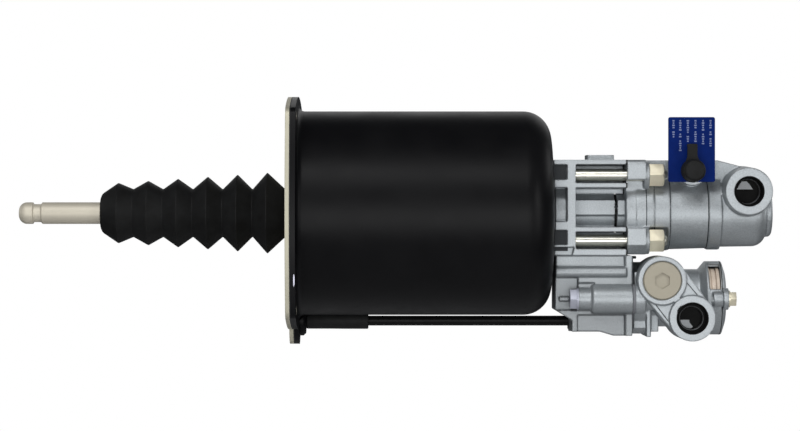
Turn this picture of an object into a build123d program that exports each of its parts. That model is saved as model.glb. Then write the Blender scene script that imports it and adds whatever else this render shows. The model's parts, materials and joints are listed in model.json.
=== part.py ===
from build123d import *
import os
from math import cos, pi, sin, sqrt

os.makedirs("parts", exist_ok=True)

# Clutch servo: an air cylinder that helps a hydraulic cylinder push a clutch rod.
# Origin on the cylinder axis at the front face of the cover plate.
# +X runs to the hydraulic end, the pushrod points to -X, +Z is up and the ports face -Y.
# All sizes are in millimetres.

# Fits and clearances
running_gap = 0.05
seat_gap = 0.1
loose_gap = 0.3
stroke = 70.0

# Front cover, gasket and flange
cover_thick = 2.5
gasket_thick = 0.5
flange_thick = 3.0
flange_margin = 8.5
flange_corner_cut = 9.0
flange_corner_r = 6.0
ear_rise = 4.0
ear_r = 14.0
mount_hole_r = 4.5
mount_inset_y = 12.5
mount_inset_z = 28.5
cover_screw_inset_y = 27.5
cover_screw_inset_z = 12.5
cover_screw_r = 2.5
cover_screw_head_r = 4.6

# Air cylinder
pot_r = 61.0
pot_sheet = 3.0
pot_depth = 156.0
pot_foot_r = 3.5
knuckle_r = 16.5
dome_rise = 2.3
spigot_r = 17.0
spigot_length = 3.0
air_hole_r = 4.0
air_hole_z = -27.0

# Pushrod and bellows
rod_r = 6.5
rod_reach = 162.0
rod_groove_r = 5.4
rod_head_length = 8.8
rod_groove_width = 4.4
rod_seat_depth = 16.0
fold_pitch = 17.85
fold_count = 6
first_fold_x = -13.0
fold_valley_r = 14.5
fold_small_r = 18.0
fold_large_r = 24.1
bellows_wall = 1.8
bellows_reach = 112.7
bellows_collar_r = 10.9
bellows_collar_length = 5.2
bellows_foot_r = 17.6
bellows_neck_r = 15.0
bellows_foot_thick = 2.4

# Air piston
piston_front_x = 10.0
piston_hub_r = 14.0
piston_hub_length = 34.0
piston_hub_fillet = 2.5
piston_web_x = 24.0
piston_web = 5.0
piston_rim_x = 17.0
piston_rim_length = 24.0
piston_rim_wall = 6.0
piston_gap = 0.6
piston_seal_width = 6.0
piston_seal_depth = 4.0
guide_ring_width = 5.0
guide_ring_depth = 2.0

# Preload spring behind the air piston
spring_r = 18.5
spring_wire_r = 1.6
spring_coils = 6.0

# Hydraulic cylinder and its piston
plunger_r = 8.0
hydraulic_bore_r = 15.0
hydraulic_piston_length = 9.0
hydraulic_nose_length = 2.0
hydraulic_seal_width = 4.0
hydraulic_seal_depth = 3.0
bush_wall = 2.0
bush_length = 22.0
rod_seal_width = 5.0

# Frame of the main casting
frame_top = 31.5
frame_bottom = -25.1
frame_half_depth = 28.0
top_plate = 2.7
bottom_plate = 3.9
rib_thick = 2.9
upper_rib_z = 16.35
lower_rib_z = -9.65
web_half = 4.5
near_upper_low = 15.3
near_upper_high = 19.7
near_lower_low = -9.9
near_lower_high = -5.0
near_floor_z = -18.9
near_ledge = 1.0
near_recess = 3.0
near_toe = 4.4
near_toe_slant = 1.4
near_pocket = 2.1
near_hub_r = 22.0
core_ridge_low = -1.3
core_ridge_high = 7.8
core_ridge_out = 1.5
core_r = 12.0
core_gap = 1.4
end_plate_at = 6.2
end_plate = 5.0
core_end_at = 35.4
frame_end_at = 41.2
body_gasket_thick = 0.5

# Tab on top of the frame
tab_left_at = 18.6
tab_length = 16.8
tab_front_y = -9.0
tab_back_y = 7.0
tab_rise = 3.2
tab_round = 2.0

# Tie bolts through the frame
tie_y = 21.0
tie_upper_z = 22.5
tie_lower_z = -16.3
tie_r = 3.6
tie_hole_gap = 0.4
tie_head_r = 5.5
tie_head = 5.0
nut_across = 13.0
nut_thick = 8.8
nut_clear_r = 7.8
nut_clear = 11.5
tie_tail = 2.0

# Hydraulic cylinder casting
body_flange = 11.1
body_flange_out = 1.5
body_flange_round = 3.0
upper_ear_z = 19.8
lower_ear_high_z = -8.9
pad_r = 8.0
pad_thick = 2.2
lower_ear_z = -18.9
ear_chamfer = 5.0
waist_half = 18.5
waist_r = 22.5
shoulder_r = 23.0
shoulder_length = 5.2
collar_r = 22.4
collar_length = 9.5
barrel_r = 21.7
barrel_ring_at = 90.9
barrel_ring_length = 7.5
barrel_ring_r = 21.9
barrel_tail_r = 20.2
barrel_tail_at = 126.4
barrel_round = 8.5
barrel_cap_r = 14.2
barrel_cap = 3.2
barrel_cap_round = 2.2
cylinder_floor = 4.6
spine_half = 9.0
spine_slope_at = 97.1
port_at = 113.5
port_z = 12.8
port_boss_r = 14.0
port_boss_root_r = 15.6
port_face_y = -30.0
port_r = 8.5
port_depth = 14.0
oil_way_r = 1.5
oil_way_y = -4.0
oil_way_z = 19.2
oil_way_end = 2.1
port_drill_r = 2.0

# Bleed screw, dust cap and tag
bleed_at = 81.0
bleed_z = 25.0
bleed_boss_r = 8.6
bleed_boss_y = -23.0
bleed_thread_r = 5.0
bleed_thread_depth = 12.0
bleed_hex = 11.0
bleed_hex_length = 4.0
bleed_nipple_r = 3.4
bleed_nipple_length = 13.0
cap_r = 6.4
cap_wall = 1.4
cap_length = 13.0
tag_width = 27.7
tag_height = 38.4
tag_thick = 0.8
tag_corner_r = 1.2
tag_low_z = 18.4
tag_left_at = 66.2
strap_width = 4.2
strap_thick = 1.6
strap_top_z = 41.0

# Valve block, the lower part of the main casting
valve_z = -50.8
block_left_at = -0.5
block_half_depth = 25.0
block_step_at = 9.3
block_step_z = -63.5
block_chamfer_z = -57.6
block_bottom_z = -70.2
block_toe_z = -72.6
block_toe_at = 25.7
block_right_at = 44.8
gallery_r = 3.3
gallery_z = -34.9
gallery_bore_r = 2.5
riser_r = 1.8
riser_margin = 1.2
band_low_z = -31.6
band_recess = 2.0
pocket_high_z = -38.0
pocket_recess = 5.8
pocket_rib_at = 2.0
pocket_rib_length = 5.5
pocket_rib_half = 1.1
ledge_low_z = -41.2
ledge_out = 1.4
panel_high_z = -60.2
panel_left_at = 12.4
panel_recess = 1.2
column_at = 40.3
column_out = 1.6
column_round = 1.5
bolt_boss_at = 20.4
bolt_boss_r = 8.6
bolt_boss_round = 2.0
bolt_seat_r = 6.5
bolt_seat_at = 12.9
valve_bolt_y = 26.0
valve_bolt_r = 3.0
valve_bolt_hex = 11.2
valve_bolt_head = 4.0
valve_bolt_washer = 1.0
valve_bolt_bite = 10.0
relay_bore_r = 9.0
relay_bore_at = 13.0
relay_piston_at = 16.0
relay_piston_length = 17.0
relay_stem_r = 4.0
relay_travel = 3.0
relay_seal_width = 3.0
relay_seal_depth = 2.0
relay_spring_r = 6.4
relay_wire_r = 0.9

# Valve head
valve_gasket_thick = 1.4
head_r = 17.2
head_length = 39.7
head_flange = 6.0
head_flange_r = 21.5
head_flange_length = 8.0
head_cone = 4.0
head_shelf_high_z = -51.7
head_shelf_low_z = -56.5
head_shelf_right_at = 62.0
head_rib_at = 53.7
head_rib = 2.7
head_rib_low_z = -73.5
head_foot_low_z = -70.6
head_foot_right_at = 61.3
stem_guide_length = 4.0
outlet_r = 10.0
seat_at = 54.0
seat_wall = 2.4
seat_hole_r = 5.4
inlet_r = 12.0
inlet_valve_r = 8.0
inlet_valve_thick = 4.0
inlet_stem_r = 3.0
inlet_travel = 1.5
inlet_stem_length = 22.0
inlet_way_r = 1.6
inlet_spring_r = 5.0
inlet_wire_r = 0.7
guide_at = 80.0
guide_nub = 3.0
plug_at = 61.5
plug_z = -39.7
plug_boss_r = 14.3
plug_face_y = -38.0
plug_r = 9.0
plug_head_r = 11.3
plug_head = 2.0
plug_depth = 10.0
plug_socket = 9.2
plug_socket_depth = 1.6
air_port_at = 79.0
air_port_z = -61.8
air_port_boss_r = 13.5
air_port_face_y = -40.0
air_port_r = 9.0
air_port_depth = 14.0
air_port_drill_r = 4.5
air_port_drill_left = 4.5
air_port_drill_rise = 3.2
exhaust_flange_r = 22.0
exhaust_length = 12.7
exhaust_wall = 2.4
exhaust_window_at = 91.1
exhaust_window_high_z = -30.5
exhaust_window_low_z = -45.2
exhaust_window_y = -6.0
ring_count = 4
ring_thick = 1.2
ring_space = 0.6
ring_r = 18.4
ring_hole_r = 7.0

# Valve cover and its bolts
valve_cover_thick = 2.9
valve_cover_ear_r = 6.4
valve_cover_bolt_y = 24.5
valve_cover_bolt_r = 2.5
valve_cover_bolt_hex = 8.0
valve_cover_bolt_head = 3.6
valve_cover_bolt_bite = 6.0
ear_boss_r = 4.5
ear_boss_length = 6.0

# Vent pipe and hose sleeve
pipe_r = 3.0
pipe_wall = 1.0
pipe_left_x = 34.0
pipe_socket_depth = 4.0
sleeve_r = 5.0
sleeve_left_x = 10.0
sleeve_right_x = 47.4
fitting_r = 9.0
fitting_thick = 3.8
fitting_chamfer = 1.5
fitting_nipple_x = 24.0
fitting_bore_r = 1.8
pipe_seal_r = 5.0
pipe_seal_thick = 2.4
pipe_boss_wall = 1.4
pipe_bolt_gap = 0.6

# Places worked out from the sizes above, where _at counts from the end of the pot
flange_side = pot_r + flange_margin
flange_corner = flange_side - flange_corner_cut
ear_y = valve_bolt_y - bolt_seat_r - pipe_seal_r - pipe_bolt_gap
ear_z = -pot_r - ear_rise
mount_y = flange_side - mount_inset_y
mount_z = flange_side - mount_inset_z
cover_screw_y = flange_side - cover_screw_inset_y
cover_screw_z = flange_side - cover_screw_inset_z
flange_x = cover_thick + gasket_thick
flange_back_x = flange_x + flange_thick
pot_end_x = flange_x + pot_depth
knuckle_x = pot_end_x - dome_rise - knuckle_r
end_plate_x = pot_end_x + end_plate_at
core_end_x = pot_end_x + core_end_at
frame_end_x = pot_end_x + frame_end_at
tab_left_x = pot_end_x + tab_left_at
barrel_ring_x = pot_end_x + barrel_ring_at
barrel_tail_x = pot_end_x + barrel_tail_at
spine_slope_x = pot_end_x + spine_slope_at
port_x = pot_end_x + port_at
bleed_x = pot_end_x + bleed_at
tag_left_x = pot_end_x + tag_left_at
block_left_x = pot_end_x + block_left_at
block_step_x = pot_end_x + block_step_at
block_toe_x = pot_end_x + block_toe_at
block_right_x = pot_end_x + block_right_at
pocket_rib_x = pot_end_x + pocket_rib_at
panel_left_x = pot_end_x + panel_left_at
column_x = pot_end_x + column_at
bolt_boss_x = pot_end_x + bolt_boss_at
bolt_seat_x = pot_end_x + bolt_seat_at
relay_bore_x = pot_end_x + relay_bore_at
relay_piston_x = pot_end_x + relay_piston_at
head_shelf_right_x = pot_end_x + head_shelf_right_at
head_rib_x = pot_end_x + head_rib_at
head_foot_right_x = pot_end_x + head_foot_right_at
seat_x = pot_end_x + seat_at
guide_x = pot_end_x + guide_at
plug_x = pot_end_x + plug_at
air_port_x = pot_end_x + air_port_at
exhaust_window_x = pot_end_x + exhaust_window_at
pot_bore_r = pot_r - pot_sheet
body_x = frame_end_x + body_gasket_thick
stub_x = core_end_x + core_gap
flange_seat_x = body_x + body_flange
pad_x = flange_seat_x + pad_thick
nut_end_x = pad_x + nut_thick
barrel_x = flange_seat_x + shoulder_length + collar_length
cylinder_end_x = barrel_tail_x + barrel_cap
bore_end_x = cylinder_end_x - cylinder_floor
plunger_end_x = bore_end_x - stroke - seat_gap
piston_seat_x = plunger_end_x - hydraulic_nose_length - hydraulic_piston_length
piston_back_x = piston_front_x + piston_hub_length
rod_seat_x = piston_front_x + rod_seat_depth
piston_rim_back_x = piston_rim_x + piston_rim_length
bush_r = plunger_r + bush_wall
bush_x = pot_end_x + spigot_length
valve_gasket_x = block_right_x
head_x = block_right_x + valve_gasket_thick
exhaust_x = head_x + head_length
exhaust_end_x = exhaust_x + exhaust_length
stem_end_x = seat_x + seat_wall + seat_gap - (relay_travel - inlet_travel) - seat_gap
inlet_valve_x = stem_end_x + (relay_travel - inlet_travel) + seat_gap
cover_face_x = exhaust_end_x + valve_cover_thick
tie_places = [(y, z) for y in (-tie_y, tie_y) for z in (tie_lower_z, tie_upper_z)]


def block(x, y, z):
    """A box between two limits along each axis."""
    size = (x[1] - x[0], y[1] - y[0], z[1] - z[0])
    return Pos((x[0] + x[1]) / 2, (y[0] + y[1]) / 2, (z[0] + z[1]) / 2) * Box(*size)


def rod_x(x, radius, y=0.0, z=0.0):
    """A cylinder along X between two stations."""
    return Pos((x[0] + x[1]) / 2, y, z) * Rot(0, 90, 0) * Cylinder(radius, x[1] - x[0])


def rod_y(y, radius, x, z):
    """A cylinder along Y between two depths."""
    return Pos(x, (y[0] + y[1]) / 2, z) * Rot(90, 0, 0) * Cylinder(radius, y[1] - y[0])


def ring_x(x, outer, inner, y=0.0, z=0.0):
    """A plain ring along X."""
    return rod_x(x, outer, y, z) - rod_x((x[0] - 1, x[1] + 1), inner, y, z)


def hex_x(x, across, y=0.0, z=0.0, turn=0.0):
    """A hexagon prism along X, sized across its flats."""
    face = Plane(origin=(x[0], y, z), x_dir=(0, 1, 0), z_dir=(1, 0, 0))
    outline = face * Rot(0, 0, turn) * RegularPolygon(across / 2, 6, major_radius=False)
    return extrude(outline, x[1] - x[0])


def hex_y(y, across, x, z):
    """A hexagon prism along Y, sized across its flats, from the front depth to the back one."""
    face = Plane(origin=(x, y[0], z), x_dir=(1, 0, 0), z_dir=(0, 1, 0))
    outline = face * RegularPolygon(across / 2, 6, major_radius=False)
    return extrude(outline, y[1] - y[0])


def turned(points, z=0.0):
    """A solid turned about the X axis from (x, radius) corners."""
    outline = make_face(Polyline(*points, close=True))
    return Pos(0, 0, z) * revolve(outline, Axis.X)


def coil(x, coil_r, wire_r, coils, z=0.0):
    """A helical spring along X between two stations, its wire inside both."""
    height = x[1] - x[0] - 2 * wire_r
    path = Helix(pitch=height / coils, height=height, radius=coil_r)
    wire = Plane(origin=path @ 0, z_dir=path % 0) * Circle(wire_r)
    spring = sweep(wire, path=path, is_frenet=True)
    return Pos(x[0] + wire_r, 0, z) * Rot(0, 90, 0) * spring


def save(solid, node):
    """Write one node's solid or group of solids."""
    solid.label = node
    export_step(solid, f"parts/{node}.step")


def group(solids):
    """Separate solids that share one node."""
    return Compound(children=list(solids))


def flange_outline():
    """Bulged square of the flange with the ear that carries the vent."""
    corners = [(1, -1), (1, 1), (-1, 1), (-1, -1)]
    sides = []
    for (ya, za), (yb, zb) in zip(corners, corners[1:] + corners[:1]):
        middle = ((ya + yb) / 2 * flange_side, (za + zb) / 2 * flange_side)
        start = (ya * flange_corner, za * flange_corner)
        end = (yb * flange_corner, zb * flange_corner)
        sides.append(ThreePointArc(start, middle, end))
    square = make_face(sides)
    square = fillet(square.vertices(), flange_corner_r)
    return square + Pos(ear_y, ear_z) * Circle(ear_r)


def flange_plate(x, thick, centre_hole_r):
    """One layer of the flange: its outline, its four mounting holes and its cover screw holes."""
    outline = flange_outline() - Circle(centre_hole_r)
    outline -= GridLocations(2 * mount_y, 2 * mount_z, 2, 2) * Circle(mount_hole_r)
    outline -= GridLocations(2 * cover_screw_y, 2 * cover_screw_z, 2, 2) * Circle(cover_screw_r)
    plane = Plane(origin=(x, 0, 0), x_dir=(0, 1, 0), z_dir=(1, 0, 0))
    return extrude(plane * outline, thick)


def cover_screw_places():
    return [(y, z) for y in (-cover_screw_y, cover_screw_y) for z in (-cover_screw_z, cover_screw_z)]


def countersunk(y, z):
    """Head and shank of one flush cover screw, from the cover face to the back of the flange."""
    head_depth = cover_screw_head_r - cover_screw_r
    head = [(0, 0), (0, cover_screw_head_r), (head_depth, cover_screw_r)]
    return Pos(0, y, z) * turned(head + [(flange_back_x, cover_screw_r), (flange_back_x, 0)])


def front_cover():
    plate = flange_plate(0, cover_thick, bellows_neck_r)
    for y, z in cover_screw_places():
        plate -= countersunk(y, z)
    return plate


def cover_gasket():
    """Thin gasket with the slot that lets the front chamber breathe into the ear."""
    sheet = flange_plate(cover_thick, gasket_thick, pot_bore_r)
    slot = block((0, flange_x + 1), (ear_y - air_hole_r, ear_y + air_hole_r), (ear_z, 0))
    return sheet - slot


def cover_screws():
    """Four countersunk screws, each with a cross recess in its head."""
    screws = []
    for y, z in cover_screw_places():
        recess = block((-1, 1.4), (y - 2.6, y + 2.6), (z - 0.5, z + 0.5))
        recess += block((-1, 1.4), (y - 0.5, y + 0.5), (z - 2.6, z + 2.6))
        screws.append(countersunk(y, z) - recess)
    return group(screws)


def pot_profile(radius, knuckle, end_x, start_x):
    """Half outline of the drawn pot for one skin, as edges from the mouth to the axis."""
    side = Line((start_x, radius), (knuckle_x, radius))
    turn = CenterArc((knuckle_x, radius - knuckle), knuckle, 90, -90)
    edge = (knuckle_x + knuckle, radius - knuckle)
    sagged = (end_x - dome_rise / 4, (radius - knuckle) / 2)
    dome = ThreePointArc(edge, sagged, (end_x, 0))
    return side, turn, dome


def pot_skin(radius, knuckle, end_x, start_x=0.0):
    """Solid inside one skin of the pot."""
    side, turn, dome = pot_profile(radius, knuckle, end_x, start_x)
    back = Line((end_x, 0), (start_x, 0))
    mouth = Line((start_x, 0), (start_x, radius))
    return revolve(make_face([side, turn, dome, back, mouth]), Axis.X)


def air_cylinder():
    """Drawn steel pot with its turned-out flange."""
    shell = pot_skin(pot_r, knuckle_r, pot_end_x, flange_x)
    centre = (flange_back_x + pot_foot_r, pot_r + pot_foot_r)
    quarter = (centre[0] - pot_foot_r * cos(pi / 4), centre[1] - pot_foot_r * sin(pi / 4))
    curve = ThreePointArc((flange_back_x, centre[1]), quarter, (centre[0], pot_r))
    rest = Polyline((centre[0], pot_r), (centre[0], pot_r - 1), (flange_back_x, pot_r - 1))
    close = Line((flange_back_x, pot_r - 1), (flange_back_x, centre[1]))
    foot = revolve(make_face([curve, rest, close]), Axis.X)
    shell += foot
    shell += flange_plate(flange_x, flange_thick, pot_bore_r)
    shell -= pot_skin(pot_bore_r, knuckle_r - pot_sheet, pot_end_x - pot_sheet, -1)
    through = (pot_end_x - 30, pot_end_x + 10)
    shell -= rod_x(through, spigot_r + seat_gap)
    shell -= rod_x(through, air_hole_r, z=air_hole_z)
    for y, z in tie_places:
        shell -= rod_x(through, tie_r + tie_hole_gap, y, z)
    return shell - rod_x((0, flange_back_x + 1), air_hole_r, ear_y, ear_z)


def bellows():
    """Moulded rubber boot: six folds that widen towards the cover, a foot and a collar on the rod."""
    outer = []
    inner = []
    growth = (fold_large_r - fold_small_r) / (fold_count - 1)
    tip = 0.7
    for i in range(fold_count):
        x = first_fold_x - i * fold_pitch
        peak = fold_large_r - i * growth
        outer += [(x + tip, peak), (x - tip, peak)]
        inner += [(x + tip, peak - bellows_wall - 0.6), (x - tip, peak - bellows_wall - 0.6)]
        if i < fold_count - 1:
            valley = x - fold_pitch / 2
            outer += [(valley + tip, fold_valley_r), (valley - tip, fold_valley_r)]
            inner += [(valley + tip, fold_valley_r - bellows_wall)]
            inner += [(valley - tip, fold_valley_r - bellows_wall)]
    collar = -bellows_reach + bellows_collar_length
    foot = [(cover_thick + bellows_foot_thick, bellows_neck_r - bellows_wall)]
    foot += [(cover_thick + bellows_foot_thick, bellows_foot_r), (cover_thick, bellows_foot_r)]
    foot += [(cover_thick, bellows_neck_r), (0, bellows_neck_r), (-0.5, fold_valley_r)]
    foot += [(-bellows_foot_thick, fold_valley_r)]
    grip = rod_r + running_gap
    nose = [(collar, bellows_collar_r), (-bellows_reach + 1, bellows_collar_r)]
    nose += [(-bellows_reach, bellows_collar_r - 1), (-bellows_reach, grip), (collar + 1, grip)]
    nose += [(collar + 1, bellows_collar_r - bellows_wall)]
    return turned(foot + outer + nose + inner[::-1])


def pushrod():
    """Turned rod with a domed, grooved nose and a clip groove at its seat."""
    dome = 4.8
    head = -rod_reach + rod_head_length
    groove = head + rod_groove_width
    clip = piston_front_x + 2
    profile = [(groove, rod_groove_r), (groove + 1, rod_r), (clip, rod_r), (clip, rod_r - 0.7)]
    profile += [(clip + 1.2, rod_r - 0.7), (clip + 1.2, rod_r), (rod_seat_x - 1.5, rod_r)]
    profile += [(rod_seat_x, rod_r - 1.5), (rod_seat_x, 0), (-rod_reach, 0)]
    nose = ThreePointArc((-rod_reach, 0), (-rod_reach + 1.3, rod_r * 0.66), (-rod_reach + dome, rod_r))
    start = [(-rod_reach + dome, rod_r), (head, rod_r), (head + 0.5, rod_groove_r)]
    outline = Polyline(*start, *profile)
    return revolve(make_face([nose, outline]), Axis.X)


def rod_clip():
    """Open snap ring that keeps the pushrod in the piston hub."""
    x = piston_front_x + 2
    ring = ring_x((x + 0.1, x + 1.1), rod_r + 1.4, rod_r - 0.6)
    return ring - block((x - 1, x + 3), (-2, 2), (0, rod_r + 3))


def air_piston():
    """Cast piston: hub with a blind seat on each side, dished web and grooved rim."""
    rim_r = pot_bore_r - piston_gap
    rim_in = rim_r - piston_rim_wall
    web_back = piston_web_x + piston_web
    seal = piston_rim_back_x - 2.5
    guide = piston_rim_x + 3
    outer = [(piston_front_x, 0), (piston_front_x, piston_hub_r - 1), (piston_front_x + 1, piston_hub_r)]
    outer += [(piston_web_x - 6, piston_hub_r), (piston_web_x, piston_hub_r + 5)]
    outer += [(piston_web_x, rim_in - 3), (piston_rim_x + 3, rim_in), (piston_rim_x, rim_in)]
    outer += [(piston_rim_x, rim_r - 1), (piston_rim_x + 1, rim_r), (guide, rim_r)]
    outer += [(guide, rim_r - guide_ring_depth), (guide + guide_ring_width, rim_r - guide_ring_depth)]
    outer += [(guide + guide_ring_width, rim_r), (seal - piston_seal_width, rim_r)]
    outer += [(seal - piston_seal_width, rim_r - piston_seal_depth), (seal, rim_r - piston_seal_depth)]
    outer += [(seal, rim_r), (piston_rim_back_x, rim_r), (piston_rim_back_x, rim_in)]
    outer += [(web_back + 2, rim_in), (web_back, rim_in - 3), (web_back, piston_hub_r + piston_hub_fillet)]
    outer += [(web_back + piston_hub_fillet, piston_hub_r), (piston_back_x, piston_hub_r)]
    outer += [(piston_back_x, 0)]
    piston = turned(outer)
    piston -= rod_x((0, rod_seat_x), rod_r + running_gap)
    piston -= rod_x((piston_front_x + 2, piston_front_x + 3.2), rod_r + 1.5)
    return piston - rod_x((rod_seat_x + 3, piston_back_x + 1), plunger_r)


def piston_seal():
    """Lip seal in the rear groove of the piston."""
    base = pot_bore_r - piston_gap - piston_seal_depth
    back = piston_rim_back_x - 2.5
    front = back - piston_seal_width
    lip = pot_bore_r - running_gap
    profile = [(front, base), (front, lip - 0.8), (back - 1.5, lip), (back - 0.2, lip)]
    profile += [(back - 0.2, lip - 1.2), (front + 2.4, base + 1.8), (back - 0.2, base + 1.4)]
    return turned(profile + [(back - 0.2, base)])


def piston_guide_ring():
    base = pot_bore_r - piston_gap - guide_ring_depth
    front = piston_rim_x + 3
    return ring_x((front, front + guide_ring_width), pot_bore_r - 2 * running_gap, base)


def preload_spring():
    """Light coil spring between the pot's end and the air piston."""
    rest = (piston_web_x + piston_web + seat_gap, pot_end_x - pot_sheet - dome_rise / 4 - seat_gap)
    return coil(rest, spring_r, spring_wire_r, spring_coils)


def hydraulic_piston():
    """Ground rod with the hydraulic piston turned on its end."""
    head_r = hydraulic_bore_r - running_gap
    groove = piston_seat_x + 3
    groove_r = head_r - hydraulic_seal_depth
    head_end = piston_seat_x + hydraulic_piston_length
    profile = [(rod_seat_x + 3, 0), (rod_seat_x + 3, plunger_r - 1), (rod_seat_x + 4, plunger_r)]
    profile += [(piston_seat_x, plunger_r), (piston_seat_x, head_r), (groove, head_r)]
    profile += [(groove, groove_r), (groove + hydraulic_seal_width, groove_r)]
    profile += [(groove + hydraulic_seal_width, head_r), (head_end - 1, head_r), (head_end, head_r - 1)]
    profile += [(head_end, plunger_r), (plunger_end_x - 1, plunger_r), (plunger_end_x, plunger_r - 1)]
    return turned(profile + [(plunger_end_x, 0)])


def hydraulic_seal():
    front = piston_seat_x + 3
    inner = hydraulic_bore_r - running_gap - hydraulic_seal_depth
    return ring_x((front, front + hydraulic_seal_width), hydraulic_bore_r - running_gap, inner)


def guide_bush():
    return ring_x((bush_x, bush_x + bush_length), bush_r, plunger_r + running_gap)


def rod_seal():
    """Lip ring behind the guide bush that keeps air and oil apart."""
    front = bush_x + bush_length
    inner = plunger_r + running_gap
    profile = [(front, inner + 0.6), (front, bush_r), (front + rod_seal_width, bush_r)]
    profile += [(front + rod_seal_width, inner), (front + rod_seal_width - 1.5, inner)]
    return turned(profile)


def spigot_seal():
    """O-ring round the casting's spigot at the pot end."""
    x = pot_end_x + 1.0
    return Pos(x, 0, 0) * Rot(0, 90, 0) * Torus(spigot_r + 1.2, 0.9)


def shelf(low, high, half_depth):
    """Section of one level shelf, or of an upright web when it is tall and thin."""
    return Pos(0, (low + high) / 2) * Rectangle(2 * half_depth, high - low)


def frame_section(upper_rib, lower_rib, floor):
    """Section of the open frame: four shelves, each from a low to a high edge, and their web."""
    section = shelf(frame_top - top_plate, frame_top, frame_half_depth)
    for low, high in (upper_rib, lower_rib, floor):
        section += shelf(low, high, frame_half_depth)
    return section + shelf(frame_bottom, frame_top, web_half)


def core_tube(x):
    """The round tube in the middle of the frame, with its flat ridge on the front and the back."""
    side = core_r + core_ridge_out
    ridge = block(x, (-side, side), (core_ridge_low, core_ridge_high))
    return rod_x(x, core_r) + ridge


def far_section():
    """The frame's section between the end plate and the hydraulic casting."""
    half = rib_thick / 2
    upper_rib = (upper_rib_z - half, upper_rib_z + half)
    lower_rib = (lower_rib_z - half, lower_rib_z + half)
    return frame_section(upper_rib, lower_rib, (frame_bottom, frame_bottom + bottom_plate))


def near_section():
    """The frame's section between the pot and the end plate: thicker ribs and closed pockets."""
    upper_rib = (near_upper_low, near_upper_high)
    lower_rib = (near_lower_low, near_lower_high)
    section = frame_section(upper_rib, lower_rib, (frame_bottom, near_floor_z))
    section += shelf(near_upper_high, frame_top, frame_half_depth - near_pocket)
    return section + shelf(frame_bottom, near_lower_low, frame_half_depth - near_pocket)


def run_x(section, x):
    """A section in Y and Z run between two stations."""
    plane = Plane(origin=(x[0], 0, 0), x_dir=(0, 1, 0), z_dir=(1, 0, 0))
    return extrude(plane * section, x[1] - x[0])


def flanks(x, y, z):
    """The same box on the front and on the back flank, with y counted outwards."""
    return block(x, (y[0], y[1]), z) + block(x, (-y[1], -y[0]), z)


def drafted_y(y, front_r, back_r, x, z):
    """A boss along Y that widens from its front face to its root."""
    return Pos(x, (y[0] + y[1]) / 2, z) * Rot(90, 0, 0) * Cone(back_r, front_r, y[1] - y[0])


def valve_block_body():
    """Outline of the valve block drawn from the side, with the recesses of its flanks."""
    corners = [(block_left_x, frame_bottom), (block_left_x, block_chamfer_z)]
    corners += [(block_step_x, block_step_z), (block_step_x, block_bottom_z)]
    corners += [(block_toe_x, block_bottom_z), (block_toe_x + 8, block_toe_z)]
    corners += [(block_right_x, block_toe_z), (block_right_x, frame_bottom)]
    outline = Plane.XZ * make_face(Polyline(*corners, close=True))
    body = extrude(outline, block_half_depth, both=True)
    body = fillet(body.edges().filter_by(Axis.Z).group_by(Axis.X)[0], 4)
    left = block_left_x - 1
    outside = block_half_depth + 5
    band = (block_half_depth - band_recess, outside)
    body -= flanks((left, column_x), band, (band_low_z, frame_bottom + 1))
    pocket = (block_half_depth - pocket_recess, outside)
    body -= flanks((left, bolt_seat_x), pocket, (block_chamfer_z, pocket_high_z))
    panel = (block_half_depth - panel_recess, outside)
    return body - flanks((panel_left_x, column_x), panel, (block_toe_z - 1, panel_high_z))


def valve_block():
    """Valve block with its galleries, ledges, bolt bosses and the columns at its right end."""
    body = valve_block_body()
    face = block_half_depth
    floor = block_half_depth - pocket_recess
    ledge = (floor, face + ledge_out)
    body += flanks((bolt_seat_x, column_x), ledge, (ledge_low_z, pocket_high_z))
    rib = (valve_z - pocket_rib_half, valve_z + pocket_rib_half)
    body += flanks((pocket_rib_x, pocket_rib_x + pocket_rib_length), (floor - 1, face - 1), rib)
    column = block((column_x, block_right_x), (-face - column_out, face + column_out),
                   (block_toe_z, frame_bottom))
    body += fillet(column.edges().filter_by(Axis.Z).group_by(Axis.X)[0], column_round)
    for side in (-1, 1):
        body += rod_x((block_left_x, column_x + 1), gallery_r, side * face, gallery_z)
        boss = rod_x((bolt_boss_x, block_right_x), bolt_boss_r, side * valve_bolt_y, valve_z)
        body += fillet(boss.edges().group_by(Axis.X)[0], bolt_boss_round)
        body += rod_x((bolt_seat_x, bolt_boss_x + 3), bolt_seat_r, side * valve_bolt_y, valve_z)
    return body


def pipe_boss():
    """Boss round the end of the breather pipe, with the web that ties it to the valve block."""
    radius = pipe_seal_r + pipe_boss_wall
    span = (block_step_x, block_step_x + pipe_seal_thick + pipe_socket_depth + pipe_boss_wall)
    web = block(span, (ear_y - radius, ear_y + pipe_r / 2), (ear_z, valve_z))
    return web + rod_x(span, radius, ear_y, ear_z)


def frame_tab():
    """Rounded tab on top of the frame, hollow at its left end."""
    span = (tab_left_x, tab_left_x + tab_length)
    tab = block(span, (tab_front_y, tab_back_y), (frame_top - 1, frame_top + tab_rise))
    tab = fillet(tab.edges().filter_by(Axis.Z), tab_round)
    middle = (tab_front_y + tab_back_y) / 2
    return tab - rod_x((tab_left_x - 1, tab_left_x + 5), tab_rise / 2 - 0.4, middle, frame_top + tab_rise / 2)


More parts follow.
